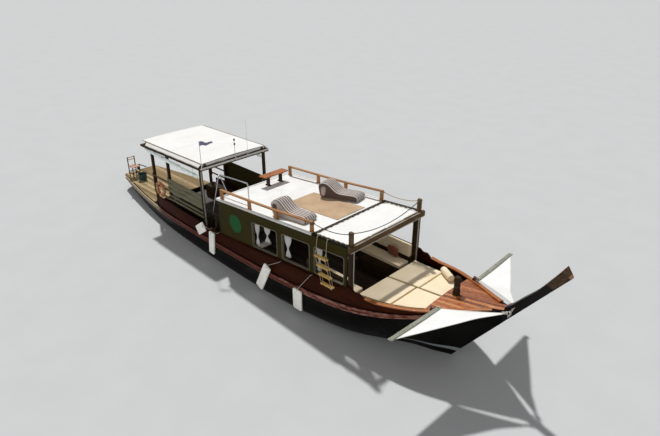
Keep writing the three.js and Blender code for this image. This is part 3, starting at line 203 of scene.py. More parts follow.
def mirrored(point, side):
    """The point as it lies to port, or its mirror image for the starboard side."""
    return Vector((point.x, side * point.y, point.z))


def curve_point(a, b, c, d, t):
    """Value of a Catmull-Rom curve at a share t of the way from b to c."""
    return 0.5 * (2 * b + (c - a) * t + (2 * a - 5 * b + 4 * c - d) * t**2 + (3 * b - a - 3 * c + d) * t**3)


def smooth_path(points, step=0.05):
    """A Catmull-Rom curve through the points."""
    points = [Vector(p) for p in points]
    ends = [2 * points[0] - points[1], *points, 2 * points[-1] - points[-2]]
    path = []
    for a, b, c, d in zip(ends, ends[1:], ends[2:], ends[3:]):
        count = max(1, math.ceil((c - b).length / step))
        path += [curve_point(a, b, c, d, i / count) for i in range(count)]
    return path + [points[-1]]


def hanging(start, end, sag, count=16):
    """A line between two points that sags under its own weight."""
    start, end = Vector(start), Vector(end)
    return [start.lerp(end, i / count) - UP * sag * 4 * (i / count) * (1 - i / count)
            for i in range(count + 1)]


class Build:
    """Vertices, faces and grain coordinates of one piece while it is made."""

    def __init__(self):
        self.points, self.grain, self.faces, self.slots = [], [], [], []
        self.members = 0

    def drift(self):
        """A shift of the grain that makes each member's figure its own."""
        self.members += 1
        return self.members * 1.73

    def add(self, points, faces, grain=None, slot=0):
        start = len(self.points)
        self.points += [tuple(p) for p in points]
        self.grain += [tuple(g) for g in (grain or points)]
        self.faces += [[start + i for i in face] for face in faces]
        self.slots += [slot] * len(faces)

    def loft(self, rings, grain=None, closed=True, caps=True, slot=0, loop=False):
        count, rows = len(rings[0]), len(rings)
        faces = []
        for r in range(rows if loop else rows - 1):
            for i in range(count if closed else count - 1):
                j, s = (i + 1) % count, (r + 1) % rows
                faces.append([r * count + i, r * count + j, s * count + j, s * count + i])
        if caps and not loop:
            faces.append(list(reversed(range(count))))
            faces.append(list(range((rows - 1) * count, rows * count)))
        flat = [g for ring in grain for g in ring] if grain else None
        self.add([p for ring in rings for p in ring], faces, flat, slot)

    def beam(self, start, end, width, depth, up=UP, bevel=0.006, slot=0):
        """A squared timber with rounded edges. Width is across it, depth is along up."""
        start, end = Vector(start), Vector(end)
        along = (end - start).normalized()
        across = Vector(up).cross(along).normalized()
        height = along.cross(across)
        length = (end - start).length
        bevel = min(bevel, length * 0.2, width * 0.3, depth * 0.3)
        drift = self.drift()
        section = rounded(width, depth, bevel)
        rings, grain = [], []
        for s, inset in ((0, bevel * 0.7), (bevel * 0.7, 0), (length - bevel * 0.7, 0),
                         (length, bevel * 0.7)):
            ky, kz = 1 - 2 * inset / width, 1 - 2 * inset / depth
            rings.append([start + along * s + across * y * ky + height * z * kz for y, z in section])
            grain.append([(s + drift, y + drift, z - drift) for y, z in section])
        self.loft(rings, grain, slot=slot)

    def post(self, x, y, foot, top, width, depth, **settings):
        """An upright timber. Depth is fore and aft."""
        self.beam((x, y, foot), (x, y, top), width, depth, up=FORE, **settings)

    def sweep(self, path, section, up=UP, loop=False):
        """A section of (across, up) points carried along a path whose frames stay level with up."""
        path = [Vector(p) for p in path]
        count = len(path)
        rings, grain, run = [], [], 0.0
        drift = self.drift()
        for i, p in enumerate(path):
            back = path[i - 1] if i or loop else p
            ahead = path[(i + 1) % count] if i < count - 1 or loop else p
            along = (ahead - back).normalized()
            across = Vector(up).cross(along).normalized()
            height = along.cross(across)
            run += (p - back).length if i else 0
            rings.append([p + across * y + height * z for y, z in section])
            grain.append([(run + drift, y + drift, z - drift) for y, z in section])
        self.loft(rings, grain, loop=loop)

    def tube(self, path, radius, sides=8, slot=0, loop=False, taper=None):
        """A round tube along a path, with frames that don't twist."""
        path = [Vector(p) for p in path]
        count = len(path)
        first = (path[1] - path[0]).normalized()
        side = first.orthogonal().normalized()
        rings, grain, run = [], [], 0.0
        last = first
        for i, p in enumerate(path):
            back = path[i - 1] if i or loop else p
            ahead = path[(i + 1) % count] if i < count - 1 or loop else p
            along = (ahead - back).normalized()
            side = last.rotation_difference(along) @ side
            side = (side - along * side.dot(along)).normalized()
            last = along
            other = along.cross(side)
            run += (p - path[i - 1]).length if i else 0
            r = radius * (taper(i / (count - 1)) if taper else 1)
            rings.append([p + side * c * r + other * s * r for c, s in ring_of(sides)])
            grain.append([(run, c * radius, s * radius) for c, s in ring_of(sides)])
        self.loft(rings, grain, slot=slot, loop=loop)

    def knot(self, at, size, axis=UP, slot=0, turns=3, radius=0.008):
        """A few turns of rope wound round a spot."""
        axis = Vector(axis).normalized()
        side = axis.orthogonal().normalized()
        other = axis.cross(side)
        count = turns * 12
        path = []
        for i in range(count + 1):
            a = 2 * math.pi * i / 12
            path.append(Vector(at) + (side * math.cos(a) + other * math.sin(a)) * size
                        + axis * (i / count - 0.5) * turns * radius * 2.1)
        self.tube(path, radius, 6, slot)

    def grid(self, columns, rows, at):
        """A sheet of quads; at(u, v) gives its points for u and v from 0 to 1."""
        rings = [[at(u / columns, v / rows) for u in range(columns + 1)] for v in range(rows + 1)]
        self.loft(rings, closed=False, caps=False)

    def turned(self, profile, centre, axis, sides=24, slot=0):
        """A solid of revolution; profile rows are (along the axis, radius)."""
        axis = Vector(axis).normalized()
        side = axis.orthogonal().normalized()
        other = axis.cross(side)
        rings = [[Vector(centre) + axis * s + (side * c + other * d) * r for c, d in ring_of(sides)]
                 for s, r in profile]
        self.loft(rings, slot=slot)

    def move(self, matrix):
        self.points = [tuple(matrix @ Vector(p)) for p in self.points]

    def object(self, name, *materials, crease=35):
        mesh = bpy.data.meshes.new(name)
        mesh.from_pydata(self.points, [], self.faces)
        grain = mesh.attributes.new("grain", "FLOAT_VECTOR", "POINT")
        grain.data.foreach_set("vector", [c for g in self.grain for c in g])
        for material in materials:
            mesh.materials.append(material)
        mesh.polygons.foreach_set("material_index", self.slots)
        bm = bmesh.new()
        bm.from_mesh(mesh)
        bmesh.ops.recalc_face_normals(bm, faces=bm.faces)
        bm.to_mesh(mesh)
        bm.free()
        mesh.shade_smooth()
        mesh.set_sharp_from_angle(angle=math.radians(crease))
        piece = bpy.data.objects.new(name, mesh)
        bpy.context.scene.collection.objects.link(piece)
        return piece


def place(piece, slot, *nodes, body="boat"):
    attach(piece, body)
    if nodes:
        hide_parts(*nodes)
    return piece


def bake_modifiers(piece):
    bpy.context.view_layer.update()
    graph = bpy.context.evaluated_depsgraph_get()
    mesh = bpy.data.meshes.new_from_object(piece.evaluated_get(graph), preserve_all_data_layers=True,
                                           depsgraph=graph)
    piece.modifiers.clear()
    piece.data = mesh


def thicken(piece, thickness, offset=0.0):
    solid = piece.modifiers.new("solid", "SOLIDIFY")
    solid.thickness, solid.offset = thickness, offset
    bake_modifiers(piece)
    return piece


def cloth_piece(name, material, thickness, columns, rows, at, slot, *nodes, body="boat"):
    """A thin sheet through the points that at(u, v) gives, smooth all over."""
    build = Build()
    build.grid(columns, rows, at)
    return place(thicken(build.object(name, material, crease=180), thickness), slot, *nodes, body=body)


PUFF_PRESSURE, PUFF_FRAMES = 4.0, 20


def puff(piece, voxel, cap, floor=None):
    """Swells a plain closed body like stuffed cloth, by simulation, no further than cap."""
    remesh = piece.modifiers.new("remesh", "REMESH")
    remesh.mode, remesh.voxel_size = "VOXEL", voxel
    bake_modifiers(piece)
    before = [v.co.copy() for v in piece.data.vertices]
    cloth = piece.modifiers.new("cloth", "CLOTH")
    cloth.settings.quality = 5
    cloth.settings.use_pressure = True
    cloth.settings.uniform_pressure_force = PUFF_PRESSURE
    cloth.settings.effector_weights.gravity = 0
    cloth.point_cache.frame_start, cloth.point_cache.frame_end = 1, PUFF_FRAMES
    for step in range(1, PUFF_FRAMES + 1):
        bpy.context.scene.frame_set(step)
    bake_modifiers(piece)
    bpy.context.scene.frame_set(1)
    for vertex, start in zip(piece.data.vertices, before):
        move = vertex.co - start
        if move.length > cap:
            vertex.co = start + move * (cap / move.length)
        if floor:
            vertex.co.z = max(vertex.co.z, floor(vertex.co))
    piece.data.shade_smooth()
    return piece


# Materials

class Shader:
    """A procedural material built from a few kinds of node."""

    def __init__(self, name, roughness=0.5, metallic=0.0, specular=0.5, coat=0.0, sheen=0.0):
        self.material = bpy.data.materials.new(name)
        self.material.use_nodes = True
        self.tree = self.material.node_tree
        self.surface = self.tree.nodes["Principled BSDF"]
        for socket, value in (("Roughness", roughness), ("Metallic", metallic),
                              ("Specular IOR Level", specular),
                              ("Coat Weight", coat), ("Sheen Weight", sheen)):
            self.surface.inputs[socket].default_value = value
        self.height = None

    def node(self, kind, inputs=(), **settings):
        made = self.tree.nodes.new("ShaderNode" + kind)
        for key, value in settings.items():
            setattr(made, key, value)
        for index, value in dict(inputs).items():
            self.feed(made.inputs[index], value)
        return made

    def feed(self, socket, value):
        if isinstance(value, bpy.types.NodeSocket):
            self.tree.links.new(value, socket)
        else:
            socket.default_value = value

    def here(self):
        return self.node("TexCoord").outputs["Object"]

    def grain(self):
        return self.node("Attribute", attribute_name="grain").outputs["Vector"]

    def stretch(self, vector, x, y, z):
        return self.node("VectorMath", {0: vector, 1: (x, y, z)}, operation="MULTIPLY").outputs[0]

    def split(self, vector):
        return self.node("SeparateXYZ", {0: vector}).outputs

    def noise(self, vector, scale, detail=4.0, roughness=0.55, distortion=0.0):
        return self.node("TexNoise", {"Vector": vector, "Scale": scale, "Detail": detail,
                                      "Roughness": roughness, "Distortion": distortion}).outputs[0]

    def wave(self, vector, scale, axis):
        return self.node("TexWave", {"Vector": vector, "Scale": scale}, bands_direction=axis).outputs["Fac"]

    def weave(self, vector, scale):
        return self.math("ADD", self.wave(vector, scale, "X"), self.wave(vector, scale, "Y"))

    def math(self, operation, a, b=0.0):
        return self.node("Math", {0: a, 1: b}, operation=operation).outputs[0]

    def step(self, value, low, high):
        """0 below low, 1 above high, smooth between."""
        made = self.node("MapRange", {0: value, 1: low, 2: high, 3: 0.0, 4: 1.0},
                         interpolation_type="SMOOTHSTEP")
        return made.outputs[0]

    def level(self, value, low, high, to_low, to_high):
        return self.node("MapRange", {0: value, 1: low, 2: high, 3: to_low, 4: to_high}).outputs[0]

    def ramp(self, fac, *stops):
        made = self.node("ValToRGB", {0: fac})
        band = made.color_ramp.elements
        while len(band) < len(stops):
            band.new(0.5)
        for element, (place_at, color) in zip(band, stops):
            element.position, element.color = place_at, (*color, 1)
        return made.outputs[0]

    def mix(self, fac, a, b):
        made = self.node("Mix", data_type="RGBA")
        for index, value in ((0, fac), (6, a), (7, b)):
            self.feed(made.inputs[index], (*value, 1) if isinstance(value, tuple) else value)
        return made.outputs[2]

    def patches(self, noise, low, high, share, body, color):
        """The body colour, gone over by a share to another colour where the noise is high."""
        return self.mix(self.math("MULTIPLY", self.step(noise, low, high), share), body, color)

    def glow(self, color, strength):
        self.feed(self.surface.inputs["Emission Color"], (*color, 1))
        self.feed(self.surface.inputs["Emission Strength"], strength)

    def bump(self, height, strength, distance):
        made = self.node("Bump", {"Height": height, "Strength": strength, "Distance": distance})
        if self.height:
            self.feed(made.inputs["Normal"], self.height)
        self.height = made.outputs[0]

    def done(self, color, roughness=None):
        self.feed(self.surface.inputs["Base Color"], color)
        if roughness is not None:
            self.feed(self.surface.inputs["Roughness"], roughness)
        if self.height:
            self.feed(self.surface.inputs["Normal"], self.height)
        return self.material


def timber(name, dark, mid, pale, roughness=0.5, coat=0.0, worn=None, wear=0.5, specular=0.2):
    """Wood whose grain runs along the first grain coordinate, worn through to another tone in patches."""
    s = Shader(name, roughness, coat=coat, specular=specular)
    v = s.grain()
    fibre = s.noise(s.stretch(v, 1.3, 16, 16), 2.6, 8, 0.62, 0.4)
    board = s.noise(s.stretch(v, 0.3, 0.9, 0.9), 2.2, 2)
    tone = s.math("ADD", s.math("MULTIPLY", fibre, 0.62), s.math("MULTIPLY", board, 0.38))
    color = s.ramp(tone, (0.30, dark), (0.5, mid), (0.70, pale))
    if worn:
        patch = s.noise(s.stretch(v, 1.2, 3.5, 3.5), 2.4, 10, 0.72)
        color = s.mix(s.step(patch, wear, wear + 0.09), color, worn)
    s.bump(fibre, 0.35, 0.0015)
    return s.done(color, s.level(fibre, 0.3, 0.7, roughness * 0.8, min(1, roughness * 1.25)))


def planked(name, dark, mid, pale, width, roughness, coat=0.0, seam=(0.02, 0.012, 0.008), specular=0.5,
            seam_half=0.004, grime=None):
    """Planks laid side by side along the boat, each its own tone, with dark seams."""
    s = Shader(name, roughness, coat=coat, specular=specular)
    here = s.here()
    x, y, z = s.split(here)
    shifted = s.math("DIVIDE", s.math("ADD", y, 20 * width + width / 2), width)
    tint = s.node("TexWhiteNoise", {"W": s.math("FLOOR", shifted)}, noise_dimensions="1D").outputs["Value"]
    v = s.node("CombineXYZ", {0: s.math("ADD", x, s.math("MULTIPLY", tint, 9.0)), 1: y, 2: z}).outputs[0]
    fibre = s.noise(s.stretch(v, 1.3, 17, 17), 2.6, 8, 0.62, 0.5)
    tone = s.math("ADD", s.math("MULTIPLY", fibre, 0.6), s.math("MULTIPLY", tint, 0.4))
    color = s.ramp(tone, (0.28, dark), (0.5, mid), (0.74, pale))
    if grime:
        color = s.patches(s.noise(here, 1.7, 9, 0.7), 0.52, 0.68, 0.75, color, grime)
    inside = s.math("FRACT", shifted)
    edge = s.math("MULTIPLY", s.math("MINIMUM", inside, s.math("SUBTRACT", 1.0, inside)), width)
    open_wood = s.step(edge, seam_half * 0.5, seam_half * 1.5)
    color = s.mix(open_wood, seam, color)
    s.bump(open_wood, 0.5, 0.003)
    s.bump(fibre, 0.3, 0.0012)
    return s.done(color, s.level(fibre, 0.3, 0.7, roughness * 0.8, min(1, roughness * 1.3)))


def paint(name, color, shade, roughness=0.5, streak=0.35, specular=0.4, dirt=None):
    """Brushed paint with cloudy tone and streaks that run down."""
    s = Shader(name, roughness, specular=specular)
    here = s.here()
    cloud = s.noise(here, 1.4, 6, 0.6)
    runs = s.noise(s.stretch(here, 9, 9, 0.8), 1.6, 5, 0.6)
    tone = s.math("ADD", s.math("MULTIPLY", cloud, 1 - streak), s.math("MULTIPLY", runs, streak))
    body = s.ramp(tone, (0.33, shade), (0.66, color))
    if dirt:
        body = s.patches(s.noise(here, 3.1, 9, 0.72), 0.56, 0.70, 0.8, body, dirt)
    s.bump(s.noise(here, 60, 3), 0.12, 0.001)
    return s.done(body, s.level(tone, 0.3, 0.7, roughness * 0.85, min(1, roughness * 1.2)))


def fabric(name, color, shade, wrinkle=0.35, stripes=None, creases=6.0):
    """Woven cloth with soft creases and cloudy fading; stripes are (period, colour, turn about up)."""
    s = Shader(name, 0.9, specular=0.15, sheen=0.15)
    here = s.here()
    body = s.ramp(s.noise(here, 2.3, 6, 0.6), (0.35, shade), (0.62, color))
    if stripes:
        period, band, turn = stripes
        x, y, _ = s.split(here)
        run = s.math("SUBTRACT", s.math("MULTIPLY", y, math.cos(turn)), s.math("MULTIPLY", x, math.sin(turn)))
        inside = s.math("FRACT", s.math("DIVIDE", s.math("ADD", run, 10.0), period))
        body = s.mix(s.step(s.math("ABSOLUTE", s.math("SUBTRACT", inside, 0.5)), 0.24, 0.30), body, band)
    s.bump(s.weave(here, 420), 0.15, 0.0006)
    s.bump(s.noise(here, creases, 4, 0.55, 0.6), wrinkle, 0.012)
    return s.done(body)


LAID_RADIUS = 0.009  # the rope radius that the strands are set for


def rope_material(name, color, shade):
    """Laid rope: strands wind round the grain's first coordinate, with the grooves between them in the shade
    colour, which is painted shade.
    """
    s = Shader(name, 0.85, specular=0.2)
    x, y, z = s.split(s.grain())
    angle = s.math("ARCTAN2", z, y)
    strands = s.math("SINE", s.math("ADD", s.math("MULTIPLY", angle, 3.0),
                                    s.math("MULTIPLY", x, 2.2 / LAID_RADIUS)))
    lay = s.level(strands, -1, 1, 0, 1)
    fuzz = s.noise(s.here(), 25, 4)
    # Painted shade: the grooves between strands take the shade colour.
    body = s.mix(lay, shade, color)
    body = s.mix(s.math("MULTIPLY", fuzz, 0.3), body, shade)
    s.bump(lay, 0.6, LAID_RADIUS * 0.35)
    return s.done(body)


def hull_paint():
    """Gloss black over planks, with a grey boot stripe that widens to the stem and scum at the water."""
    s = Shader("black_paint", 0.34, specular=0.05)
    here = s.here()
    x, _, z = s.split(here)
    down = s.split(s.grain())["Y"]
    cloud = s.noise(here, 1.3, 6)
    body = s.ramp(cloud, (0.35, (0.0025, 0.0025, 0.002)), (0.7, (0.008, 0.007, 0.006)))
    worn = s.noise(s.stretch(here, 0.8, 0.8, 5), 2.1, 9, 0.7)
    body = s.patches(worn, 0.58, 0.72, 0.35, body, (0.028, 0.021, 0.015))
    scum = s.math("MULTIPLY", s.math("SUBTRACT", 1.0, s.step(z, 0.02, 0.10)), s.noise(here, 5, 6))
    body = s.mix(s.math("MULTIPLY", scum, 0.9), body, (0.040, 0.045, 0.028))
    centre = s.level(x, 6.3, 7.8, 0.235, 0.275)
    half = s.level(x, 6.25, 7.85, 0.0, 0.072)
    off = s.math("ABSOLUTE", s.math("SUBTRACT", z, centre))
    stripe = s.math("MULTIPLY", s.step(s.math("SUBTRACT", half, off), -0.002, 0.004), s.step(x, 6.2, 6.5))
    body = s.mix(stripe, body, (0.34, 0.37, 0.38))
    plank = s.math("FRACT", s.math("DIVIDE", down, 0.155))
    seam = s.step(s.math("MINIMUM", plank, s.math("SUBTRACT", 1.0, plank)), 0.008, 0.035)
    s.bump(seam, 0.25, 0.002)
    s.bump(s.noise(s.stretch(here, 1.2, 9, 9), 2.2, 6), 0.12, 0.002)
    return s.done(body, s.level(cloud, 0.3, 0.7, 0.22, 0.42))


def make_materials():
    return {
        "hull": hull_paint(),
        "prow": prow_finish(),
        "rub_rail": rub_rail_finish(),
        "mahogany": timber("mahogany", (0.018, 0.004, 0.002), (0.042, 0.009, 0.0035), (0.088, 0.019, 0.008),
                           0.5, specular=0.04, worn=(0.13, 0.034, 0.016), wear=0.62),
        "varnish": timber("varnish", (0.20, 0.055, 0.014), (0.42, 0.142, 0.040), (0.62, 0.26, 0.085), 0.34,
                          coat=0.2, worn=(0.62, 0.34, 0.16), wear=0.60),
        "bow_deck": planked("bow_deck_varnish", (0.16, 0.036, 0.008), (0.40, 0.112, 0.026),
                            (0.62, 0.25, 0.07), 0.092, 0.26, coat=0.5, seam=(0.05, 0.014, 0.006),
                            seam_half=0.0035),
        "rail": timber("rail_varnish", (0.20, 0.078, 0.022), (0.39, 0.175, 0.056), (0.58, 0.30, 0.115), 0.45,
                       coat=0.08, worn=(0.55, 0.36, 0.19), wear=0.58),
        "frame": timber("dark_timber", (0.018, 0.010, 0.005), (0.046, 0.027, 0.013), (0.105, 0.066, 0.032),
                        0.6, specular=0.1, worn=(0.16, 0.11, 0.058), wear=0.62),
        "post": timber("post_timber", (0.045, 0.027, 0.011), (0.120, 0.074, 0.032), (0.22, 0.145, 0.068),
                       0.6, specular=0.12, worn=(0.30, 0.22, 0.12), wear=0.60),
        "sole": planked("sole_planks", (0.020, 0.012, 0.008), (0.045, 0.028, 0.018), (0.09, 0.058, 0.036),
                        0.12, 0.6),
        "olive": paint("olive_paint", (0.054, 0.042, 0.008), (0.035, 0.027, 0.005), 0.6, specular=0.06,
                       dirt=(0.038, 0.026, 0.008)),
        "moulding": paint("moulding_paint", (0.185, 0.17, 0.112), (0.112, 0.10, 0.063), 0.5,
                          dirt=(0.065, 0.053, 0.032)),
        "pale_edge": paint("pale_edge_paint", (0.52, 0.49, 0.42), (0.40, 0.37, 0.31), 0.55,
                           dirt=(0.28, 0.24, 0.19)),
        "white_deck": white_deck(),
        "aft_deck": planked("aft_planks", (0.165, 0.108, 0.047), (0.325, 0.235, 0.116), (0.52, 0.41, 0.235),
                            0.125, 0.85, seam=(0.06, 0.04, 0.025), specular=0.15, grime=(0.19, 0.135, 0.078)),
        "grey_plank": timber("grey_plank", (0.085, 0.078, 0.044), (0.180, 0.167, 0.100), (0.30, 0.28, 0.18),
                             0.75, worn=(0.34, 0.30, 0.21), wear=0.60),
        "pad_deck": planked("pad_deck_planks", (0.03, 0.012, 0.006), (0.07, 0.025, 0.012),
                            (0.13, 0.05, 0.025), 0.11, 0.5),
        "canvas": canvas("canvas", (0.89, 0.88, 0.85), (0.83, 0.82, 0.785)),
        "net": canvas("awning_net", (0.89, 0.88, 0.85), (0.83, 0.82, 0.785), through=0.68),
        "canvas_hem": canvas("canvas_hem", (0.72, 0.70, 0.65), (0.60, 0.58, 0.53)),
        "canvas_tape": canvas("canvas_tape", (0.33, 0.27, 0.185), (0.22, 0.175, 0.12)),
        "wing_cloth": canvas("wing_cloth", (0.89, 0.885, 0.865), (0.81, 0.80, 0.77)),
        "boom": timber("boom_timber", (0.14, 0.145, 0.11), (0.29, 0.30, 0.235), (0.46, 0.47, 0.39), 0.7),
        "cream": fabric("cream_fabric", (0.93, 0.79, 0.56), (0.86, 0.71, 0.48)),
        "piping": fabric("cream_piping", (0.66, 0.52, 0.32), (0.56, 0.43, 0.26), creases=30),
        "pillow": fabric("pillow_fabric", (0.27, 0.085, 0.048), (0.19, 0.058, 0.034), creases=12),
        "mat": mat_cloth(),
        **{f"lounger_{name}": fabric(f"lounger_fabric_{name}", (0.64, 0.575, 0.53), (0.54, 0.475, 0.435),
                                     stripes=(0.08, (0.135, 0.098, 0.082), turn), wrinkle=0.6, creases=7)
           for name, _, _, turn, _ in LOUNGERS},
        "seam": fabric("seam_fabric", (0.40, 0.37, 0.345), (0.33, 0.30, 0.28), creases=30),
        "curtain": fabric("curtain_cloth", (0.80, 0.80, 0.77), (0.68, 0.68, 0.65), wrinkle=0.2),
        "pennant": fabric("pennant_cloth", (0.30, 0.30, 0.44), (0.20, 0.20, 0.32), wrinkle=0.2),
        "clear": rolled_plastic(),
        "foam": foam(),
        "lifebuoy": buoy_shell(),
        "steel": steel(),
        "bronze": cast("bronze", (0.36, 0.20, 0.07), (0.16, 0.20, 0.14), 0.38),
        "iron": cast("engine_metal", (0.12, 0.14, 0.15), (0.05, 0.06, 0.06), 0.5),
        "tread": timber("ladder_tread", (0.62, 0.36, 0.09), (0.92, 0.63, 0.21), (0.97, 0.80, 0.40), 0.6),
        "chair": timber("chair_timber", (0.36, 0.19, 0.13), (0.58, 0.36, 0.27), (0.76, 0.56, 0.45), 0.6,
                        worn=(0.80, 0.66, 0.55), wear=0.57),
        "rope": rope_material("white_rope", (0.80, 0.78, 0.70), (0.42, 0.39, 0.32)),
        "tan_rope": rope_material("tan_rope", (0.62, 0.52, 0.34), (0.32, 0.25, 0.15)),
        "dark_rope": rope_material("dark_rope", (0.14, 0.13, 0.12), (0.05, 0.045, 0.04)),
        "green": paint("green_disc", (0.016, 0.125, 0.030), (0.010, 0.090, 0.020), 0.55, streak=0.15,
                       specular=0.12),
        "teal": paint("teal_paint", (0.035, 0.085, 0.070), (0.022, 0.055, 0.045), 0.6),
        "dark_paint": paint("dark_paint", (0.016, 0.013, 0.010), (0.009, 0.007, 0.006), 0.55, specular=0.08),
    }


def canvas(name, color, shade, through=0.0):
    """Plain canvas, finely woven and dusty; an open weave lets a share of the sun through each face."""
    s = Shader(name, 0.85, specular=0.15, sheen=0.1)
    here = s.here()
    body = s.ramp(s.noise(here, 1.1, 8, 0.65), (0.36, shade), (0.60, color))
    s.bump(s.weave(here, 500), 0.12, 0.0005)
    s.bump(s.noise(here, 3.2, 3, 0.5, 0.5), 0.25, 0.012)
    if through:
        shadow = s.node("LightPath").outputs["Is Shadow Ray"]
        s.feed(s.surface.inputs["Alpha"], s.math("SUBTRACT", 1.0, s.math("MULTIPLY", shadow, through)))
    return s.done(body)


def mat_cloth():
    """Tan mat woven in narrow ribs across it, faded in patches."""
    s = Shader("mat_fabric", 0.9, specular=0.12)
    here = s.here()
    body = s.ramp(s.noise(here, 2.0, 7, 0.65), (0.34, (0.47, 0.325, 0.20)), (0.64, (0.60, 0.43, 0.275)))
    ribs = s.wave(here, 50, "X")
    body = s.mix(s.math("MULTIPLY", ribs, 0.25), body, (0.38, 0.255, 0.155))
    s.bump(ribs, 0.4, 0.002)
    s.bump(s.noise(here, 2.4, 3, 0.5, 0.5), 0.3, 0.01)
    return s.done(body)


def white_deck():
    """Matt white coating with sheet joints, grey scuffs and dust."""
    s = Shader("white_deck", 0.6, specular=0.25)
    here = s.here()
    x = s.split(here)["X"]
    body = s.ramp(s.noise(here, 1.3, 8, 0.68), (0.35, (0.76, 0.75, 0.715)), (0.58, (0.86, 0.855, 0.83)))
    scuff = s.noise(s.stretch(here, 1, 3.2, 1), 4.5, 10, 0.75)
    body = s.patches(scuff, 0.60, 0.72, 0.5, body, (0.47, 0.45, 0.41))
    sheet = s.math("FRACT", s.math("DIVIDE", s.math("ADD", x, 10.4), 1.22))
    joint = s.step(s.math("MINIMUM", sheet, s.math("SUBTRACT", 1.0, sheet)), 0.001, 0.004)
    body = s.mix(joint, (0.56, 0.54, 0.50), body)
    s.bump(joint, 0.3, 0.002)
    s.bump(s.noise(here, 45, 4), 0.15, 0.0012)
    return s.done(body)


def prow_finish():
    """Black paint up the stem, with its head left in weathered varnish; the end grain is paler."""
    s = Shader("prow_timber", 0.4, specular=0.15)
    here = s.here()
    x, _, z = s.split(here)
    up_stem = s.math("ADD", s.math("MULTIPLY", x, 0.59), s.math("MULTIPLY", z, 0.81))
    fibre = s.noise(s.stretch(here, 2, 12, 3), 2.2, 8, 0.62)
    black = s.ramp(fibre, (0.35, (0.004, 0.0035, 0.003)), (0.7, (0.012, 0.009, 0.007)))
    varnish = s.ramp(fibre, (0.32, (0.024, 0.014, 0.007)), (0.5, (0.066, 0.036, 0.017)),
                     (0.7, (0.13, 0.070, 0.034)))
    body = s.mix(s.step(up_stem, 8.235, 8.245), black, varnish)
    out_of_head = s.math("SUBTRACT", s.math("MULTIPLY", x, 0.812), s.math("MULTIPLY", z, -0.584))
    end_face = s.step(out_of_head, 10.19, 10.20)
    body = s.mix(end_face, body, s.ramp(fibre, (0.3, (0.19, 0.095, 0.06)), (0.7, (0.34, 0.19, 0.125))))
    s.bump(fibre, 0.25, 0.0015)
    return s.done(body, s.level(fibre, 0.3, 0.7, 0.32, 0.5))


def rub_rail_finish():
    """Red-brown varnish, bleached to pale tan at the stern and rubbed pink towards the bow."""
    s = Shader("rub_rail_timber", 0.45, specular=0.2)
    v = s.grain()
    x = s.split(s.here())["X"]
    fibre = s.noise(s.stretch(v, 1.2, 15, 15), 2.4, 8, 0.62)
    body = s.ramp(fibre, (0.32, (0.060, 0.014, 0.008)), (0.5, (0.15, 0.035, 0.020)),
                  (0.7, (0.26, 0.075, 0.045)))
    patch = s.noise(s.stretch(v, 1.0, 4, 4), 1.9, 10, 0.72)
    rubbed = s.math("ADD", patch, s.level(x, -2.0, 4.5, -0.22, 0.05))
    body = s.patches(rubbed, 0.52, 0.60, 0.85, body, (0.44, 0.22, 0.165))
    bleached = s.step(s.math("ADD", patch, s.level(x, -5.2, -3.4, 0.40, -0.25)), 0.55, 0.68)
    body = s.mix(bleached, body, (0.46, 0.36, 0.24))
    s.bump(fibre, 0.35, 0.0015)
    return s.done(body)


def rolled_plastic():
    """Milky clear sheet, glossy, in pale grey-green with whiter streaks, with a painted glow: emission that
    stands in for the sunlight the clear roll lets through.
    """
    s = Shader("clear_sheet", 0.18, specular=0.6)
    streak = s.noise(s.stretch(s.here(), 2.2, 14, 14), 2.0, 6, 0.6, 0.8)
    s.feed(s.surface.inputs["Transmission Weight"], 0.08)
    # Painted light: this emission makes the sheet glow as if sunlit, though it is no lamp.
    s.glow((0.80, 0.92, 0.88), 0.17)
    body = s.ramp(streak, (0.38, (0.62, 0.70, 0.68)), (0.56, (0.97, 0.99, 0.98)))
    s.bump(streak, 0.5, 0.006)
    return s.done(body, s.level(streak, 0.3, 0.7, 0.12, 0.34))


def foam():
    """Closed-cell foam board, scuffed and stained, with a painted glow: emission that brightens the boards
    beyond the light the lamps give them.
    """
    s = Shader("foam", 0.8, specular=0.2)
    here = s.here()
    cells = s.noise(here, 90, 3)
    stain = s.noise(here, 4.5, 9, 0.7)
    # Painted light: emission makes the foam glow, though it is no lamp.
    s.glow((1.0, 0.99, 0.90), 0.13)
    body = s.ramp(stain, (0.34, (0.78, 0.76, 0.68)), (0.56, (0.95, 0.94, 0.89)))
    dents = s.noise(here, 14, 4)
    s.bump(cells, 0.2, 0.001)
    s.bump(dents, 0.35, 0.004)
    return s.done(body)


def buoy_shell():
    """Orange shell, sun-faded, with four pale bands round the ring."""
    s = Shader("lifebuoy_shell", 0.5, specular=0.35)
    here = s.here()
    around = s.split(s.grain())["X"]
    band = s.math("ABSOLUTE", s.math("SUBTRACT", s.math("FRACT", s.math("MULTIPLY", around, 4.0)), 0.5))
    orange = s.ramp(s.noise(here, 6, 6), (0.35, (0.44, 0.12, 0.035)), (0.65, (0.62, 0.24, 0.10)))
    body = s.mix(s.step(band, 0.40, 0.42), orange, (0.60, 0.40, 0.27))
    s.bump(s.noise(here, 30, 4), 0.15, 0.001)
    return s.done(body)


def steel():
    s = Shader("steel_tube", 0.28, metallic=1.0)
    brushed = s.noise(s.stretch(s.here(), 3, 60, 3), 2.0, 5)
    body = s.ramp(brushed, (0.3, (0.46, 0.47, 0.48)), (0.7, (0.68, 0.69, 0.70)))
    s.bump(brushed, 0.08, 0.0005)
    return s.done(body, s.level(brushed, 0.3, 0.7, 0.2, 0.36))


def cast(name, color, stain, roughness):
    s = Shader(name, roughness, metallic=0.85)
    here = s.here()
    patch = s.noise(here, 7, 8, 0.65)
    body = s.mix(s.step(patch, 0.45, 0.62), color, stain)
    s.bump(s.noise(here, 40, 5), 0.3, 0.0015)
    return s.done(body, s.level(patch, 0.3, 0.7, roughness * 0.8, roughness * 1.4))


# Camera, light and floor

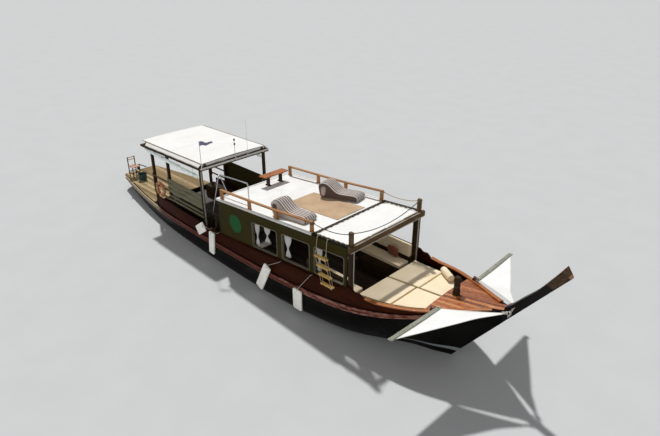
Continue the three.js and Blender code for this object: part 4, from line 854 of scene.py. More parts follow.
def camera():
    azimuth, pitch = math.radians(44.88), math.radians(26.51)
    focal_px, frame_px = 558.47, 660
    data = bpy.data.cameras.new("camera")
    data.sensor_width = 36
    data.lens = focal_px / frame_px * data.sensor_width
    eye = bpy.data.objects.new("camera", data)
    eye.location = (13.39, -10.28, 9.59)
    look = Vector((-math.sin(azimuth) * math.cos(pitch),
                   math.cos(azimuth) * math.cos(pitch),
                   -math.sin(pitch)))
    eye.rotation_euler = look.to_track_quat("-Z", "Y").to_euler()
    bpy.context.scene.collection.objects.link(eye)
    bpy.context.scene.camera = eye


def lamp(name, toward, energy, softness):
    """A distant lamp that shines from the direction toward."""
    data = bpy.data.lights.new(name, "SUN")
    data.energy, data.angle = energy, math.radians(softness)
    light = bpy.data.objects.new(name, data)
    light.rotation_euler = Vector(toward).to_track_quat("Z", "Y").to_euler()
    bpy.context.scene.collection.objects.link(light)


def studio():
    lamp("key", (-0.59, 0.31, 1.0), 3.0, 2.5)
    lamp("fill", (0.7, -0.8, 0.9), 0.28, 60)
    world = bpy.data.worlds.new("studio")
    world.use_nodes = True
    background = world.node_tree.nodes["Background"]
    background.inputs[0].default_value = (0.97, 0.98, 1.0, 1)
    background.inputs[1].default_value = 0.28
    bpy.context.scene.world = world
    bpy.context.scene.view_settings.view_transform = "Standard"
    size = 500.0
    build = Build()
    build.grid(4, 4, lambda u, v: Vector(((u - 0.5) * size, (v - 0.5) * size, 0)))
    s = Shader("floor", 0.9, specular=0.1)
    tone = s.ramp(s.noise(s.here(), 0.8, 3), (0.3, (0.555, 0.56, 0.56)), (0.7, (0.575, 0.58, 0.58)))
    build.object("floor", s.done(tone))


# Hull and its timbers

HULL_SKIN, SKIN_AFT_X, SECTION_LEVELS = 0.006, -8.503, 22


def section_side(x):
    """One side of the hull's section as (half breadth, height, distance down from the sheer)."""
    keel, foot = keel_z(x), strake_foot(x)
    heights = [keel + (foot - keel) * i / SECTION_LEVELS for i in range(SECTION_LEVELS + 1)]
    points = [*((hull_half(x, z), z) for z in heights), (sheer_half(x), sheer_z(x))]
    rows, run = [(*points[-1], 0.0)], 0.0
    for lower, upper in zip(points[-2::-1], points[:0:-1]):
        run += math.dist(lower, upper)
        rows.append((*lower, run))
    return rows[::-1]


def hull_skin(m):
    build = Build()
    for side in (1, -1):
        rings, grain = [], []
        for x in steps(SKIN_AFT_X, 7.5, 0.15) + steps(7.5, 8.85, 0.07)[1:]:
            rows = section_side(x)
            rings.append([(x, side * (half + HULL_SKIN), z - (HULL_SKIN if i == 0 else 0))
                          for i, (half, z, run) in enumerate(rows)])
            grain.append([(x, run, 0) for half, z, run in rows])
        build.loft(rings, grain, closed=False, caps=False)
    transom = [(SKIN_AFT_X, half + HULL_SKIN, z) for half, z, run in section_side(SKIN_AFT_X)]
    transom += [(x, -y, z) for x, y, z in reversed(transom)]
    build.add(transom, [list(range(len(transom)))], [(y, 0.6 - z, 0) for x, y, z in transom])
    skin = thicken(build.object("hull_skin", m["hull"], crease=40), 0.004, -1)
    place(skin, "black_paint")


def strake_half(x, z):
    """Half breadth of the top strake's straight face at a height."""
    foot = strake_foot(x)
    foot_half = hull_half(x, foot)
    return foot_half + (sheer_half(x) - foot_half) / (sheer_z(x) - foot) * (z - foot)


def rub_rails(m):
    """Two rounded strips with a groove between them along the top strake."""
    out, groove, band, drop = 0.045, 0.020, 0.052, 0.012
    for name, side in SIDES.items():
        build = Build()
        for strip in range(2):
            rings = []
            for x in steps(-8.47, 8.4, 0.14):
                foot, top = strake_foot(x) + drop, sheer_z(x) - drop
                deep = min(band, (top - foot) / 3)
                middle = (foot if strip == 0 else top - deep) + deep / 2
                rings.append([(x, side * (strake_half(x, middle + up) + out / 2 + across), middle + up)
                              for across, up in rounded(out, deep, 0.015)])
            build.loft(rings, [[(x + strip * 3.1, y, z) for x, y, z in ring] for ring in rings])
        rings = []
        for x in steps(-8.465, 8.38, 0.2):
            low, high = strake_foot(x) + drop + 0.02, sheer_z(x) - drop - 0.02
            rings.append([(x, side * (strake_half(x, z) + y), z)
                          for y, z in ((0, low), (groove, low), (groove, high), (0, high))])
        build.loft(rings, [[(x + 7.7, y, z) for x, y, z in ring] for ring in rings])
        place(build.object(f"rub_rail_strips_{name}", m["rub_rail"]), "rub_rail_timber", f"rub_rail_{name}")


BUTTS = ((-4.6, -0.4, "bulwark_aft"), (-0.4, 5.19, "bulwark"), (5.19, 8.6, "bulwark_fore"))


def bulwarks(m):
    soft = 0.012
    for name, side in SIDES.items():
        for aft, front, node in BUTTS:
            build = Build()
            breaks = {row["x"] for row in BULWARK_LINES if aft < row["x"] < front}
            rings, grain = [], []
            for x in sorted({*steps(aft + GAP, front - GAP, 0.16), *breaks}):
                foot, top = sheer_z(x) + GAP, bulwark_top(x)
                outer, top_outer = sheer_half(x) - BULWARK_INSET, bulwark_outer(x)
                top_inner = top_outer - BULWARK_THICK
                ring = [(outer, foot), (outer + (top_outer - outer) * 0.9, foot + (top - foot) * 0.9),
                        (top_outer, top - soft), (top_outer - soft * 0.4, top - soft * 0.3),
                        (top_outer - soft, top), (top_inner + soft, top),
                        (top_inner + soft * 0.4, top - soft * 0.3), (top_inner, top - soft),
                        (outer - BULWARK_THICK, foot)]
                rings.append([(x, side * y, z) for y, z in ring])
                grain.append([(x, y, z * 1.5) for y, z in ring])
            build.loft(rings, grain)
            place(build.object(f"{node}_board_{name}", m["mahogany"]), "mahogany", f"{node}_{name}")


def cap_rails(m):
    for name, side in SIDES.items():
        build = Build()
        path = []
        for x in steps(CAP_AFT_X, 8.6, 0.1):
            y = bulwark_outer(x) + CAP_OVERHANG - CAP_WIDTH / 2
            path.append((x, side * y, bulwark_top(x) + GAP + CAP_THICK / 2))
        build.sweep(path, rounded(CAP_WIDTH, CAP_THICK, 0.015, 3))
        eye, along = mirrored(WING_ROOT - WING_AXIS * 0.044, side), mirrored(WING_AXIS, side)
        build.post(eye.x, eye.y, bulwark_top(eye.x), eye.z - 0.012, 0.04, 0.04)
        build.turned([(-0.022, 0.024), (-0.018, 0.03), (0.018, 0.03), (0.022, 0.024)], eye, along, 20)
        for turn in (-0.034, 0.034):
            build.knot(eye + along * turn, 0.03, along, slot=1, turns=2, radius=0.007)
        build.knot((eye.x - 0.05, eye.y, eye.z - 0.06), 0.03, slot=1)
        place(build.object(f"cap_rail_strip_{name}", m["varnish"], m["dark_rope"]), "varnish",
              f"cap_rail_{name}")


PROW_SECTIONS = [  # foot x and z, head x and z, half width near the foot and near the head
    (8.846, 1.70, 8.846, 2.125, 0.045, 0.114), (9.06, 1.99, 8.985, 2.257, 0.043, 0.107),
    (9.35, 2.386, 9.195, 2.518, 0.043, 0.104), (9.60, 2.728, 9.462, 2.835, 0.046, 0.110),
    (9.79, 2.989, 9.637, 3.103, 0.053, 0.130), (9.98, 3.248, 9.807, 3.375, 0.061, 0.156),
    (10.114, 3.43, 9.921, 3.571, 0.067, 0.174),
]


def prow_skin(m):
    """Fair rounded skin of the stem head, a few millimetres proud of its core."""
    last = len(PROW_SECTIONS) - 1
    fine = []
    for i in range(last):
        near = [PROW_SECTIONS[min(max(i + k, 0), last)] for k in (-1, 0, 1, 2)]
        fine += [[curve_point(*four, t) for four in zip(*near)] for t in (0, 0.25, 0.5, 0.75)]
    fine.append(PROW_SECTIONS[last])
    grow = 0.003
    rings = []
    for foot_x, foot_z, head_x, head_z, low, top in fine:
        edge = Vector((head_x - foot_x, 0, head_z - foot_z)).normalized() * grow
        foot, head = Vector((foot_x, 0, foot_z)) - edge, Vector((head_x, 0, head_z)) + edge
        ring = [foot.lerp(head, t) + Vector((0, half, 0)) for t, half in (
            (0, low * 0.6), (0.05, low + grow), (0.5, (low + top) / 2 + grow), (0.93, top + grow),
            (0.985, top - 0.004), (1.0, top - 0.016))]
        rings.append(ring + [mirrored(p, -1) for p in reversed(ring)])
    build = Build()
    build.loft(rings)
    place(build.object("prow_skin", m["prow"], crease=28), "prow_timber")
    ropes = Build()
    for side in (1, -1):
        nose, axis = mirrored(WING_NOSE, side), mirrored(WING_AXIS, side)
        for turn in (-0.03, 0.032):
            ropes.knot(nose + axis * turn, 0.036, axis, turns=2, radius=0.009)
        ropes.knot((nose.x, side * 0.135, nose.z), 0.026, (0, 1, 0), turns=4, radius=0.009)
    for shift in (-0.02, 0.0, 0.02):
        loop = [(9.0 + 0.155 * c * 0.35 + shift, 0.128 * s, 2.06 + 0.20 * c * 0.94 + shift)
                for c, s in ring_of(28)]
        ropes.tube(loop, 0.009, 6, loop=True)
    place(ropes.object("stem_lashing", m["rope"]), "canvas")


def samson_post(m):
    build = Build()
    centre_x = 7.52
    low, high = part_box("samson_post")
    profile = [(0, 0.070), (0.12, 0.070), (0.15, 0.065), (0.21, 0.056), (0.33, 0.056), (0.37, 0.065),
               (0.39, 0.072), (0.46, 0.072), (0.475, 0.068), (high.z - low.z, 0.054)]
    rings, grain = [], []
    for up, half in profile:
        section = rounded(2 * half, 2 * half, 0.012)
        rings.append([(centre_x + across, y, low.z + up) for across, y in section])
        grain.append([(up, across, y) for across, y in section])
    build.loft(rings, grain)
    build.knot((centre_x, 0, low.z + 0.26), 0.074, slot=1, radius=0.009)
    place(build.object("samson_post_timber", m["frame"], m["dark_rope"]), "dark_timber", "samson_post")


# Cabin, roof and awning

WINDOW_CORNER = 0.075


def roof_beam(build, start, end, up, width, depth, **settings):
    """A beam between two (x, y) places, at one height over the sloping plane of the roof."""
    build.beam(on_roof(*start, up), on_roof(*end, up), width, depth, **settings)


def window_outline(aft, front):
    """Rounded window outline that follows the roof's slope, as (x, z)."""
    corners = [(aft, WINDOW_FOOT_DROP), (front, WINDOW_FOOT_DROP), (front, WINDOW_TOP_DROP),
               (aft, WINDOW_TOP_DROP)]
    corners = [Vector((x, roof_z(x) - drop)) for x, drop in corners]
    points = []
    for i, corner in enumerate(corners):
        a = (corners[i - 1] - corner).normalized()
        b = (corners[(i + 1) % 4] - corner).normalized()
        for k in range(5):
            t = k / 4
            p = corner + a * WINDOW_CORNER * (1 - t) ** 2 + b * WINDOW_CORNER * t**2
            points.append(p + (a + b) * 0.002)
    return points


def window_trim(m):
    """Rounded mouldings round each window, outside and in, and strips along the cabin's foot and head."""
    for name, side in SIDES.items():
        build = Build()
        for aft, front in WINDOWS:
            for face, proud in ((PANEL_OUTER, 0.016), (PANEL_OUTER - PANEL_THICK, -0.012)):
                path = [(p.x, side * (face + proud * 0.3), p.y) for p in window_outline(aft, front)]
                build.sweep(path, rounded(abs(proud) * 1.6, 0.042, 0.008), up=(0, side, 0), loop=True)
        place(build.object(f"window_mouldings_{name}", m["moulding"]), "olive_paint")
        for title, material, slot, out, up, section in (
                ("sill_strip", "mahogany", "mahogany", 0.012, 0.012 - PANEL_DROP,
                 rounded(0.028, 0.05, 0.010, 3)),
                ("cornice", "olive", "olive_paint", 0.014, -ROOF_THICK - 0.045,
                 rounded(0.026, 0.085, 0.008, 2))):
            strip = Build()
            strip.sweep([on_roof(x, side * (PANEL_OUTER + out), up) for x in steps(-0.38, 5.18, 0.4)],
                        section)
            place(strip.object(f"{title}_{name}", m[material]), slot)


def emblem_place(m):
    """A plain blank disc where the boat's mark would be."""
    build = Build()
    centre = Vector((0.48, -PANEL_OUTER, 1.73))
    build.turned([(0, 0.30), (0.008, 0.30), (0.012, 0.295), (0.012, 0.0001)], centre, (0, -1, 0), 48)
    place(build.object("blank_disc", m["green"]), "olive_paint")


def curtain(m, name, aft, width, tie, side, flat, folds=5, phase=0.0):
    """A curtain gathered at a tie: wide at the rail, narrow at the tie, loose below."""
    top = WINDOW_TOP_DROP + 0.02

    def at(u, v):
        gather = 1 - (1 - tie) * math.exp(-((v - 0.62) / 0.2) ** 2) - 0.25 * v
        x = aft + width * (0.5 + (u - 0.5) * gather)
        swing = 0.026 * math.sin(2 * math.pi * folds * u + phase) * (0.35 + 0.65 * gather)
        return Vector((x, side * (PANEL_OUTER - 0.085) + swing, roof_z(x) - top - v * flat[1]))

    piece = cloth_piece(name, m["curtain"], 0.002, folds * 8, 22, at, "canvas")


CURTAIN_FLAT = (0.44, 0.74)  # one window's curtain before it is gathered
CURTAINS = [(0.24, 0.35), (0.27, 0.32), (0.20, 0.40)]  # gathered width, share of it left at the tie


def curtains(m):
    for name, side in SIDES.items():
        for number, (width, tie) in enumerate(CURTAINS):
            curtain(m, f"curtain_{name}_{number + 1}", WINDOWS[number][0] + 0.01, width, tie, side,
                    CURTAIN_FLAT, phase=number * 1.7)
    curtain(m, "curtain_knotted", WINDOWS[0][0] + 0.46, 0.26, 0.3, -1, (0.36, 0.52), folds=4, phase=2.2)


AWNING = {"aft": 4.06, "front": 5.232, "half": 1.385, "drop": -0.014}
AWNING_POST_X, AWNING_POST_Y = 5.27, 1.383


def awning_timbers(m):
    build = Build()
    wide = 0.094
    inset = 0.095 / 2
    x0, x1, post_x = ROOF_FRONT_X + GAP + inset, AWNING_FRONT_X - inset, AWNING_POST_X
    roof_beam(build, (x0, -ROOF_HALF), (x0, ROOF_HALF), -0.04, wide, 0.08, slot=1)
    roof_beam(build, (x1, -ROOF_HALF - 0.03), (x1, ROOF_HALF + 0.03), -0.0775, wide, 0.155)
    foot, shaded_post_top = max(sheer_z(5.215), sheer_z(5.325)) - 0.002, roof_z(post_x) - 0.14
    head = roof_z(5.325) + 0.365
    for side in (1, -1):
        y = side * (ROOF_HALF - inset)
        roof_beam(build, (x0 + 0.04, y), (x1 - 0.03, y), -0.04, wide, 0.08, slot=1)
        # Each post is one timber in two tones: the darker frame timber below the awning's beam is painted
        # shade, the paler post timber above it is the same wood lit.
        build.post(post_x, side * AWNING_POST_Y, foot, shaded_post_top, 0.082, 0.11, slot=2)
        build.post(post_x, side * AWNING_POST_Y, shaded_post_top, head, 0.082, 0.11)
        roof_beam(build, (post_x, side * 1.47), (post_x, side * 1.33), -0.10, 0.15, 0.05)
    place(build.object("awning_timbers", m["post"], m["dark_paint"], m["frame"]), "dark_timber",
          "awning_frame")
    light = Build()
    for side in (1, -1):
        light.post(5.324, side * 1.338, 1.24, roof_z(5.34) - 0.16, 0.026, 0.032)
    face = AWNING_FRONT_X + 0.002
    roof_beam(light, (face - 0.012, -1.32), (face - 0.012, 1.32), 0.004, 0.022, 0.016)
    roof_beam(light, (face, -1.5), (face, 1.5), -0.156, 0.014, 0.022)
    place(light.object("awning_battens", m["pale_edge"]), "olive_paint")


def zigzag(count):
    """Shares along an edge for a lacing that goes out from the cloth and back, count times."""
    for k in range(count * 2):
        ends = (k / (2 * count), (k + 1) / (2 * count))
        yield ends if k % 2 == 0 else ends[::-1]


def awning_cloth(m):
    """The fore awning: a canvas laced to its frame along the sides and aft edge, with ties at the front, its
    edges drawn in between lacings.
    """
    aft, front, half = AWNING["aft"], AWNING["front"], AWNING["half"]
    lacings_x, lacings_y = 7, 13
    columns, rows = 104, 56
    corner_x, corner_y = 5.19, 1.32

    def at(u, v):
        x = aft + (front - aft) * v
        pull_y = 0.028 * (1 - math.cos(2 * math.pi * lacings_x * v)) / 2
        pull_x = 0.026 * (1 - math.cos(2 * math.pi * lacings_y * u)) / 2 * (v < 0.5)
        side = (u - 0.5) * 2
        edge_v = abs(v - 0.5) * 2
        x -= math.copysign(pull_x * edge_v**8, v - 0.5)
        y = side * half - math.copysign(pull_y * abs(side) ** 12, side)
        if x > corner_x and abs(y) > corner_y:
            y = math.copysign(corner_y, y)
        sag = 0.022 * (1 - side**2) * (1 - edge_v**2) + 0.003 * math.sin(9 * x + 4 * y) * (1 - edge_v)
        return on_roof(x, y, AWNING["drop"] - sag)

    cloth = cloth_piece("awning_cloth", m["net"], 0.003, columns, rows, at, "canvas", "awning_canvas")
    hem = Build()
    hem_ring = [at(i / columns, 0) for i in range(columns + 1)]
    hem_ring += [at(1, i / rows) for i in range(1, rows + 1)]
    hem_ring += [at(1 - i / columns, 1) for i in range(1, columns + 1)]
    hem_ring += [at(0, 1 - i / rows) for i in range(1, rows)]
    hem.sweep([p + UP * 0.002 for p in hem_ring], rounded(0.03, 0.005, 0.002, 1), loop=True)
    hem_piece = place(hem.object("awning_hem", m["canvas_hem"]), "canvas")
    lacing = Build()

    def lace(a, b, rise):
        lacing.tube([a + UP * 0.004, a.lerp(b, 0.5) + UP * rise, b], 0.004, 6)

    for side in (1, -1):
        for inner, outer in zigzag(lacings_x):
            lace(at(0.5 + side * 0.5, inner), on_roof(aft + (front - aft) * outer, side * 1.455, 0.004),
                 0.012)
    for inner, outer in zigzag(lacings_y):
        lace(at(inner, 0), on_roof(4.0, (2 * outer - 1) * half, 0.004), 0.01)
    lacing_piece = place(lacing.object("awning_lacing", m["tan_rope"]), "canvas")
    ties = Build()
    for u in (0.02, 0.27, 0.5, 0.73, 0.98):
        a = at(u, 1)
        ties.sweep([a - Vector((0.05, 0, -0.004)), a + UP * 0.005, a + Vector((0.055, 0, 0.012))],
                   rounded(0.045, 0.006, 0.002, 1))
    ties_piece = place(ties.object("awning_ties", m["canvas"]), "canvas")


ROOF_RAIL_POSTS = [(-0.19, 0.33), (1.21, 0.30), (2.44, 0.29), (3.89, 0.32)]
RAIL_Y = 1.415


def roof_rails(m):
    for name, side in SIDES.items():
        build = Build()
        y = side * RAIL_Y
        for x, up in ROOF_RAIL_POSTS:
            build.post(x, y, roof_z(x), roof_z(x) + (up - 0.03), 0.07, 0.10, bevel=0.008)
            roof_beam(build, (x - 0.075, y), (x + 0.075, y), 0.008, 0.10, 0.016)
        for (xa, up_a), (xb, up_b) in zip(ROOF_RAIL_POSTS, ROOF_RAIL_POSTS[1:]):
            lap_a = 0.05 if xa == ROOF_RAIL_POSTS[0][0] else 0
            lap_b = 0.05 if xb == ROOF_RAIL_POSTS[-1][0] else 0
            a, b = on_roof(xa - lap_a, y, up_a - 0.0225), on_roof(xb + lap_b, y, up_b - 0.0225)
            build.beam(a, b, 0.09, 0.045, bevel=0.010)
        place(build.object(f"roof_rail_timber_{name}", m["rail"]), "varnish", f"roof_rail_{name}")


def roof_edges(m):
    """Rounded white edging round the sun deck with an olive fascia under it."""
    build, fascia = Build(), Build()

    def edge(strip, start, end, y, up, section):
        strip.sweep([on_roof(x, y, up) for x in steps(start, end, 0.6)], section)

    for side in (1, -1):
        edge(build, ROOF_AFT_X + 0.005, ROOF_FRONT_X, side * (ROOF_HALF - 0.022), 0.008,
             rounded(0.05, 0.022, 0.009, 3))
        edge(build, ROOF_AFT_X, ROOF_FRONT_X, side * (ROOF_HALF + 0.004), -0.026, rounded(0.012, 0.05, 0.005))
        edge(fascia, ROOF_AFT_X, AWNING_FRONT_X, side * (ROOF_HALF + 0.003), -0.066,
             rounded(0.012, 0.032, 0.004))
    roof_beam(build, (ROOF_AFT_X + 0.025, -ROOF_HALF), (ROOF_AFT_X + 0.025, ROOF_HALF), 0.008, 0.05, 0.022)
    place(build.object("roof_edging", m["white_deck"]), "white_deck")
    place(fascia.object("roof_fascia", m["olive"]), "olive_paint")


def deck_bench(m):
    build = Build()
    aft, front, starboard, port, up, thick = -0.14, 0.20, 0.02, 1.01, 0.375, 0.036
    width, middle, under = (front - aft) / 3, (aft + front) / 2, up - thick
    for i in range(3):
        x = aft + width * (i + 0.5)
        roof_beam(build, (x, starboard), (x, port), up - thick / 2, width - 0.006, thick, bevel=0.008)
    for y in (0.27, 0.79):
        roof_beam(build, (aft + 0.045, y), (front - 0.045, y), under - 0.022, 0.06, 0.044)
        build.post(middle, y, roof_z(middle) + 0.03, roof_z(middle) + (under - 0.02), 0.044, 0.15, slot=1)
        roof_beam(build, (aft + 0.05, y), (front - 0.05, y), 0.02, 0.064, 0.038, slot=1)
    place(build.object("deck_bench_timber", m["varnish"], m["frame"]), "varnish", "roof_bench")


def companion_stair(m):
    build = Build()
    starboard, port, foot_x, head_x, treads = -1.02, -0.50, -1.33, -0.43, 6
    head, foot = roof_z(ROOF_AFT_X) - 0.06, SOLE_TOP + GAP
    for y in (starboard, port):
        build.beam((foot_x - 0.03, y, foot), (head_x - 0.075, y, head), 0.036, 0.17, up=FORE)
    for step in range(1, treads + 1):
        part = step / (treads + 0.6)
        x = foot_x - 0.04 + part * (head_x - foot_x - 0.04)
        z = foot + part * (head - foot)
        build.beam((x - 0.01, starboard, z - 0.016), (x - 0.01, port, z - 0.016), 0.2, 0.032, bevel=0.008)
    place(build.object("stair_timber", m["frame"]), "dark_timber", "stair")
    rail = Build()
    y = -1.085
    route = [(-1.64, SOLE_TOP + 0.008), (-1.2, 1.67), (-0.80, 2.77), (-0.755, 2.865), (-0.68, 2.915),
             (-0.55, 2.928), (0.62, 3.035), (0.71, 3.02), (0.755, 2.955), (0.765, roof_z(0.765) + 0.002)]
    rail.tube(smooth_path([(x, y, z) for x, z in route], 0.04), 0.019, 14)
    rail.tube([(-0.70, y, 2.90), (-0.33, y, roof_z(-0.33) + 0.009)], 0.015, 12)
    for x in (0.765, -0.33):
        rail.turned([(0, 0.04), (0.006, 0.04), (0.008, 0.022), (0.02, 0.021)], on_roof(x, y, 0.001),
                    ROOF_NORMAL, 20)
    place(rail.object("handrail_tube", m["steel"]), "steel_tube", "stair_handrail")


# Soft goods

PAD_DECK = [{"x": 5.34, "z": 1.262}, {"x": 7.25, "z": 1.47}]
PAD_EDGES = [{"x": 5.34, "half": 1.23}, {"x": 6.3, "half": 1.11}, {"x": 6.8, "half": 0.93},
             {"x": 7.25, "half": 0.69}]
PAD_THICK = 0.105


def pad_deck_z(x):
    return straight(PAD_DECK, "z", x)


def pad_half(x):
    return straight(PAD_EDGES, "half", x)


def mattress(m, name, node, aft, front, side, inner):
    """A foam mattress: a plain slab that is swelled by simulation, then piped along its edges."""
    inset = 0.010
    edge = [(x, pad_half(x) - inset) for x in steps(aft + inset, front - inset, 0.1)]
    edge += [(front - inset, inner + inset), (aft + inset, inner + inset)]
    base = [(x, side * y) for x, y in edge]
    centre = Vector((sum(p[0] for p in base) / len(base), sum(p[1] for p in base) / len(base)))
    layers = ((0.0, 0.006), (0.012, 0.0), (PAD_THICK * 0.5, -0.001), (PAD_THICK - 0.022, 0.0),
              (PAD_THICK - 0.010, 0.008))
    rings = []
    for up, draw in layers:
        ring = []
        for x, y in base:
            toward = (centre - Vector((x, y))).normalized() * draw
            ring.append((x + toward.x, y + toward.y, pad_deck_z(x) + 0.001 + up))
        rings.append(ring)
    build = Build()
    build.loft(rings)
    pad = build.object(name, m["cream"])
    puff(pad, 0.017, 0.012, floor=lambda p: pad_deck_z(p.x) + 0.001)
    place(pad, "cream_fabric", node)
    tree = BVHTree.FromObject(pad, bpy.context.evaluated_depsgraph_get())
    cord = Build()
    for up in (PAD_THICK - 0.012, 0.012):
        path = []
        for a, b in zip(base, base[1:] + base[:1]):
            for t in steps(0, 1, 0.04 / max(0.04, math.dist(a, b)))[:-1]:
                x, y = a[0] + (b[0] - a[0]) * t, a[1] + (b[1] - a[1]) * t
                outward = (Vector((x, y)) - centre).normalized() * 0.02
                probe = Vector((x + outward.x, y + outward.y,
                                pad_deck_z(x) + up + (0.01 if up > 0.05 else 0)))
                path.append(tree.find_nearest(probe)[0])
        cord.tube(path, 0.0045, 6, loop=True)
    place(cord.object(name + "_piping", m["piping"]), "cream_fabric")


def sun_pads(m):
    seam = {"port": 6.42, "starboard": 6.36}
    for name, side in SIDES.items():
        node = f"sun_pad_{name}"
        mattress(m, f"mattress_aft_{name}", node, 5.365, seam[name], side, 0.010)
        mattress(m, f"mattress_fore_{name}", node, seam[name] + 0.004, 7.205, side, 0.010)


def bolster(m):
    a, b = Vector((6.45, 1.04, 0)), Vector((6.93, 0.71, 0))
    radius = 0.1
    for p in (a, b):
        p.z = pad_deck_z(p.x) + PAD_THICK + radius + 0.008
    axis = (b - a).normalized()
    length = (b - a).length
    half_profile = [(0, 0.03), (0.004, 0.07), (0.018, radius - 0.014), (0.05, radius - 0.006)]
    build = Build()
    build.turned([*half_profile, (length / 2, radius - 0.004),
                  *((length - s, r) for s, r in reversed(half_profile))],
                 a, axis, 32)
    roll = puff(build.object("bolster_roll", m["cream"]), 0.010, 0.006)
    place(roll, "cream_fabric", "bolster")
    ends = Build()
    side = axis.orthogonal().normalized()
    other = axis.cross(side)
    for s in (0.012, length - 0.012):
        ring = [a + axis * s + (side * c + other * d) * (radius - 0.010) for c, d in ring_of(36)]
        ends.tube(ring, 0.005, 6, loop=True)
    place(ends.object("bolster_piping", m["piping"]), "cream_fabric")


def cushion(m, name, low, high):
    """A piped box cushion between two corners, with drawn-in sides, swelled by simulation."""
    low, high = Vector(low), Vector(high)
    centre, size = (low + high) / 2, high - low
    build = Build()
    section = rounded(size.x - 0.012, size.y - 0.012, 0.03, 4)
    build.loft([[(x * k, y * k, up * (size.z - 0.010)) for x, y in section]
                for up, k in ((-0.5, 0.965), (-0.42, 0.995), (0.0, 1.0), (0.42, 0.995), (0.5, 0.955))])
    build.move(Matrix.Translation(centre))
    pad = puff(build.object(name, m["cream"]), 0.012, 0.010)
    place(pad, "cream_fabric")
    tree = BVHTree.FromObject(pad, bpy.context.evaluated_depsgraph_get())
    cord = Build()
    for up in (-0.46, 0.46):
        path = [tree.find_nearest(centre + Vector((x * 1.04, y * 1.04, up * size.z)))[0]
                for x, y in rounded(size.x, size.y, 0.03, 4)]
        fine = []
        for p, q in zip(path, path[1:] + path[:1]):
            fine += [tree.find_nearest(p.lerp(q, t))[0]
                     for t in steps(0, 1, 0.04 / max(0.04, (q - p).length))[:-1]]
        cord.tube(fine, 0.004, 6, loop=True)
    place(cord.object(name + "_piping", m["piping"]), "cream_fabric")


BENCH_SEAT = 1.255


def fore_benches(m):
    aft, front, inner, seat, back, deep = 3.6, 5.195, 0.77, BENCH_SEAT, 1.75, 0.13
    outer = sheer_half(front) - 0.23 - 0.013
    shelf = seat - 0.12
    tall = shelf - SOLE_TOP - 0.002

    def along(box, y, z, width, depth):
        box.beam((aft, y, z), (front, y, z), width, depth)

    for name, side in SIDES.items():
        box = Build()
        edge, z = side * (inner + 0.012), SOLE_TOP + 0.002 + tall / 2
        along(box, edge, z, 0.024, tall)
        along(box, side * (inner + outer) / 2, shelf - 0.012, outer - inner, 0.024)
        box.beam((aft + 0.012, edge, z), (aft + 0.012, side * (outer - 0.01), z), 0.024, tall - 0.01)
        along(box, side * (outer - 0.03), shelf + 0.12, 0.04, 0.24)
        along(box, side * (outer + 0.007), (seat + back) / 2, 0.010, back - seat)
        place(box.object(f"bench_box_{name}", m["frame"]), "dark_timber", f"fore_bench_{name}")
        for part, ends, foot, top in (("seat", (inner - 0.005, outer - deep - 0.004), shelf + 0.002, seat),
                                      ("back", (outer - deep, outer), seat + 0.09, back)):
            low, high = sorted(side * y for y in ends)
            cushion(m, f"bench_{part}_{name}", (aft + 0.005, low, foot), (front - 0.005, high, top))


def pillow(m):
    size = Vector((0.40, 0.14, 0.37))
    centre = Vector((4.68, 1.075, BENCH_SEAT + 0.188))
    build = Build()
    count = 14
    for face in (1, -1):
        def at(u, v, face=face):
            a, b = 2 * u - 1, 2 * v - 1
            thick = size.y * 0.42 * ((1 - a**4) * (1 - b**4)) ** 0.6
            pinch = 1 - 0.07 * (a * a * b * b)
            ear_x = a * size.x / 2 * (1 - 0.05 * (1 - abs(b) ** 3))
            ear_z = b * size.z / 2 * (1 - 0.05 * (1 - abs(a) ** 3))
            return Vector((ear_x * pinch, face * (thick + 0.004), ear_z * pinch))
        build.grid(count, count, at)
    build.move(Matrix.Translation(centre) @ Matrix.Rotation(0.25, 4, "X"))
    piece = puff(build.object("pillow_cushion", m["pillow"]), 0.008, 0.010)
    place(piece, "pillow_fabric", "pillow")


def sun_mat(m):
    aft, front, starboard, port = 1.75, 3.88, -0.44, 0.69

    def at(u, v):
        x, y = aft + (front - aft) * v, starboard + (port - starboard) * u
        edge = min(u, 1 - u, v, 1 - v)
        lift = 0.0035 * (1 + math.sin(5.1 * x + 2.3 * y)) * (1 + math.cos(7.3 * y - 1.9 * x)) * 0.5
        curl = 0.010 * max(0, 1 - edge / 0.03) * (0.5 + 0.5 * math.sin(11 * x + 7 * y))
        fold = 0.012 * math.exp(-((y - 0.55 + 0.06 * math.sin(2 * x)) / 0.02) ** 2) * (x > 1.9)
        return on_roof(x, y + 0.006 * math.sin(3.1 * x), 0.006 + lift + curl * 0.5 + fold * 0.4)

    mat = cloth_piece("sun_mat_cloth", m["mat"], 0.005, 60, 100, at, "mat_fabric", "sun_mat")


LOUNGER_PROFILE = [  # the bag seen from its side, as (along, up)
    (-0.60, 0.0), (0.54, 0.0), (0.67, 0.035), (0.70, 0.08), (0.64, 0.16), (0.48, 0.18), (0.24, 0.175),
    (0.02, 0.19), (-0.09, 0.235), (-0.22, 0.335), (-0.34, 0.435), (-0.44, 0.478), (-0.55, 0.478),
    (-0.65, 0.43), (-0.69, 0.35), (-0.68, 0.17), (-0.645, 0.045),
]
LOUNGERS = [("starboard", 2.74, -1.01, 0.05, 0.002), ("port", 2.78, 0.89, 0.25, 0.02)]
LOUNGER_FLANKS = ((-1, 0.90), (-0.94, 0.965), (-0.6, 0.99), (0, 1.0), (0.6, 0.99), (0.94, 0.965), (1, 0.90))


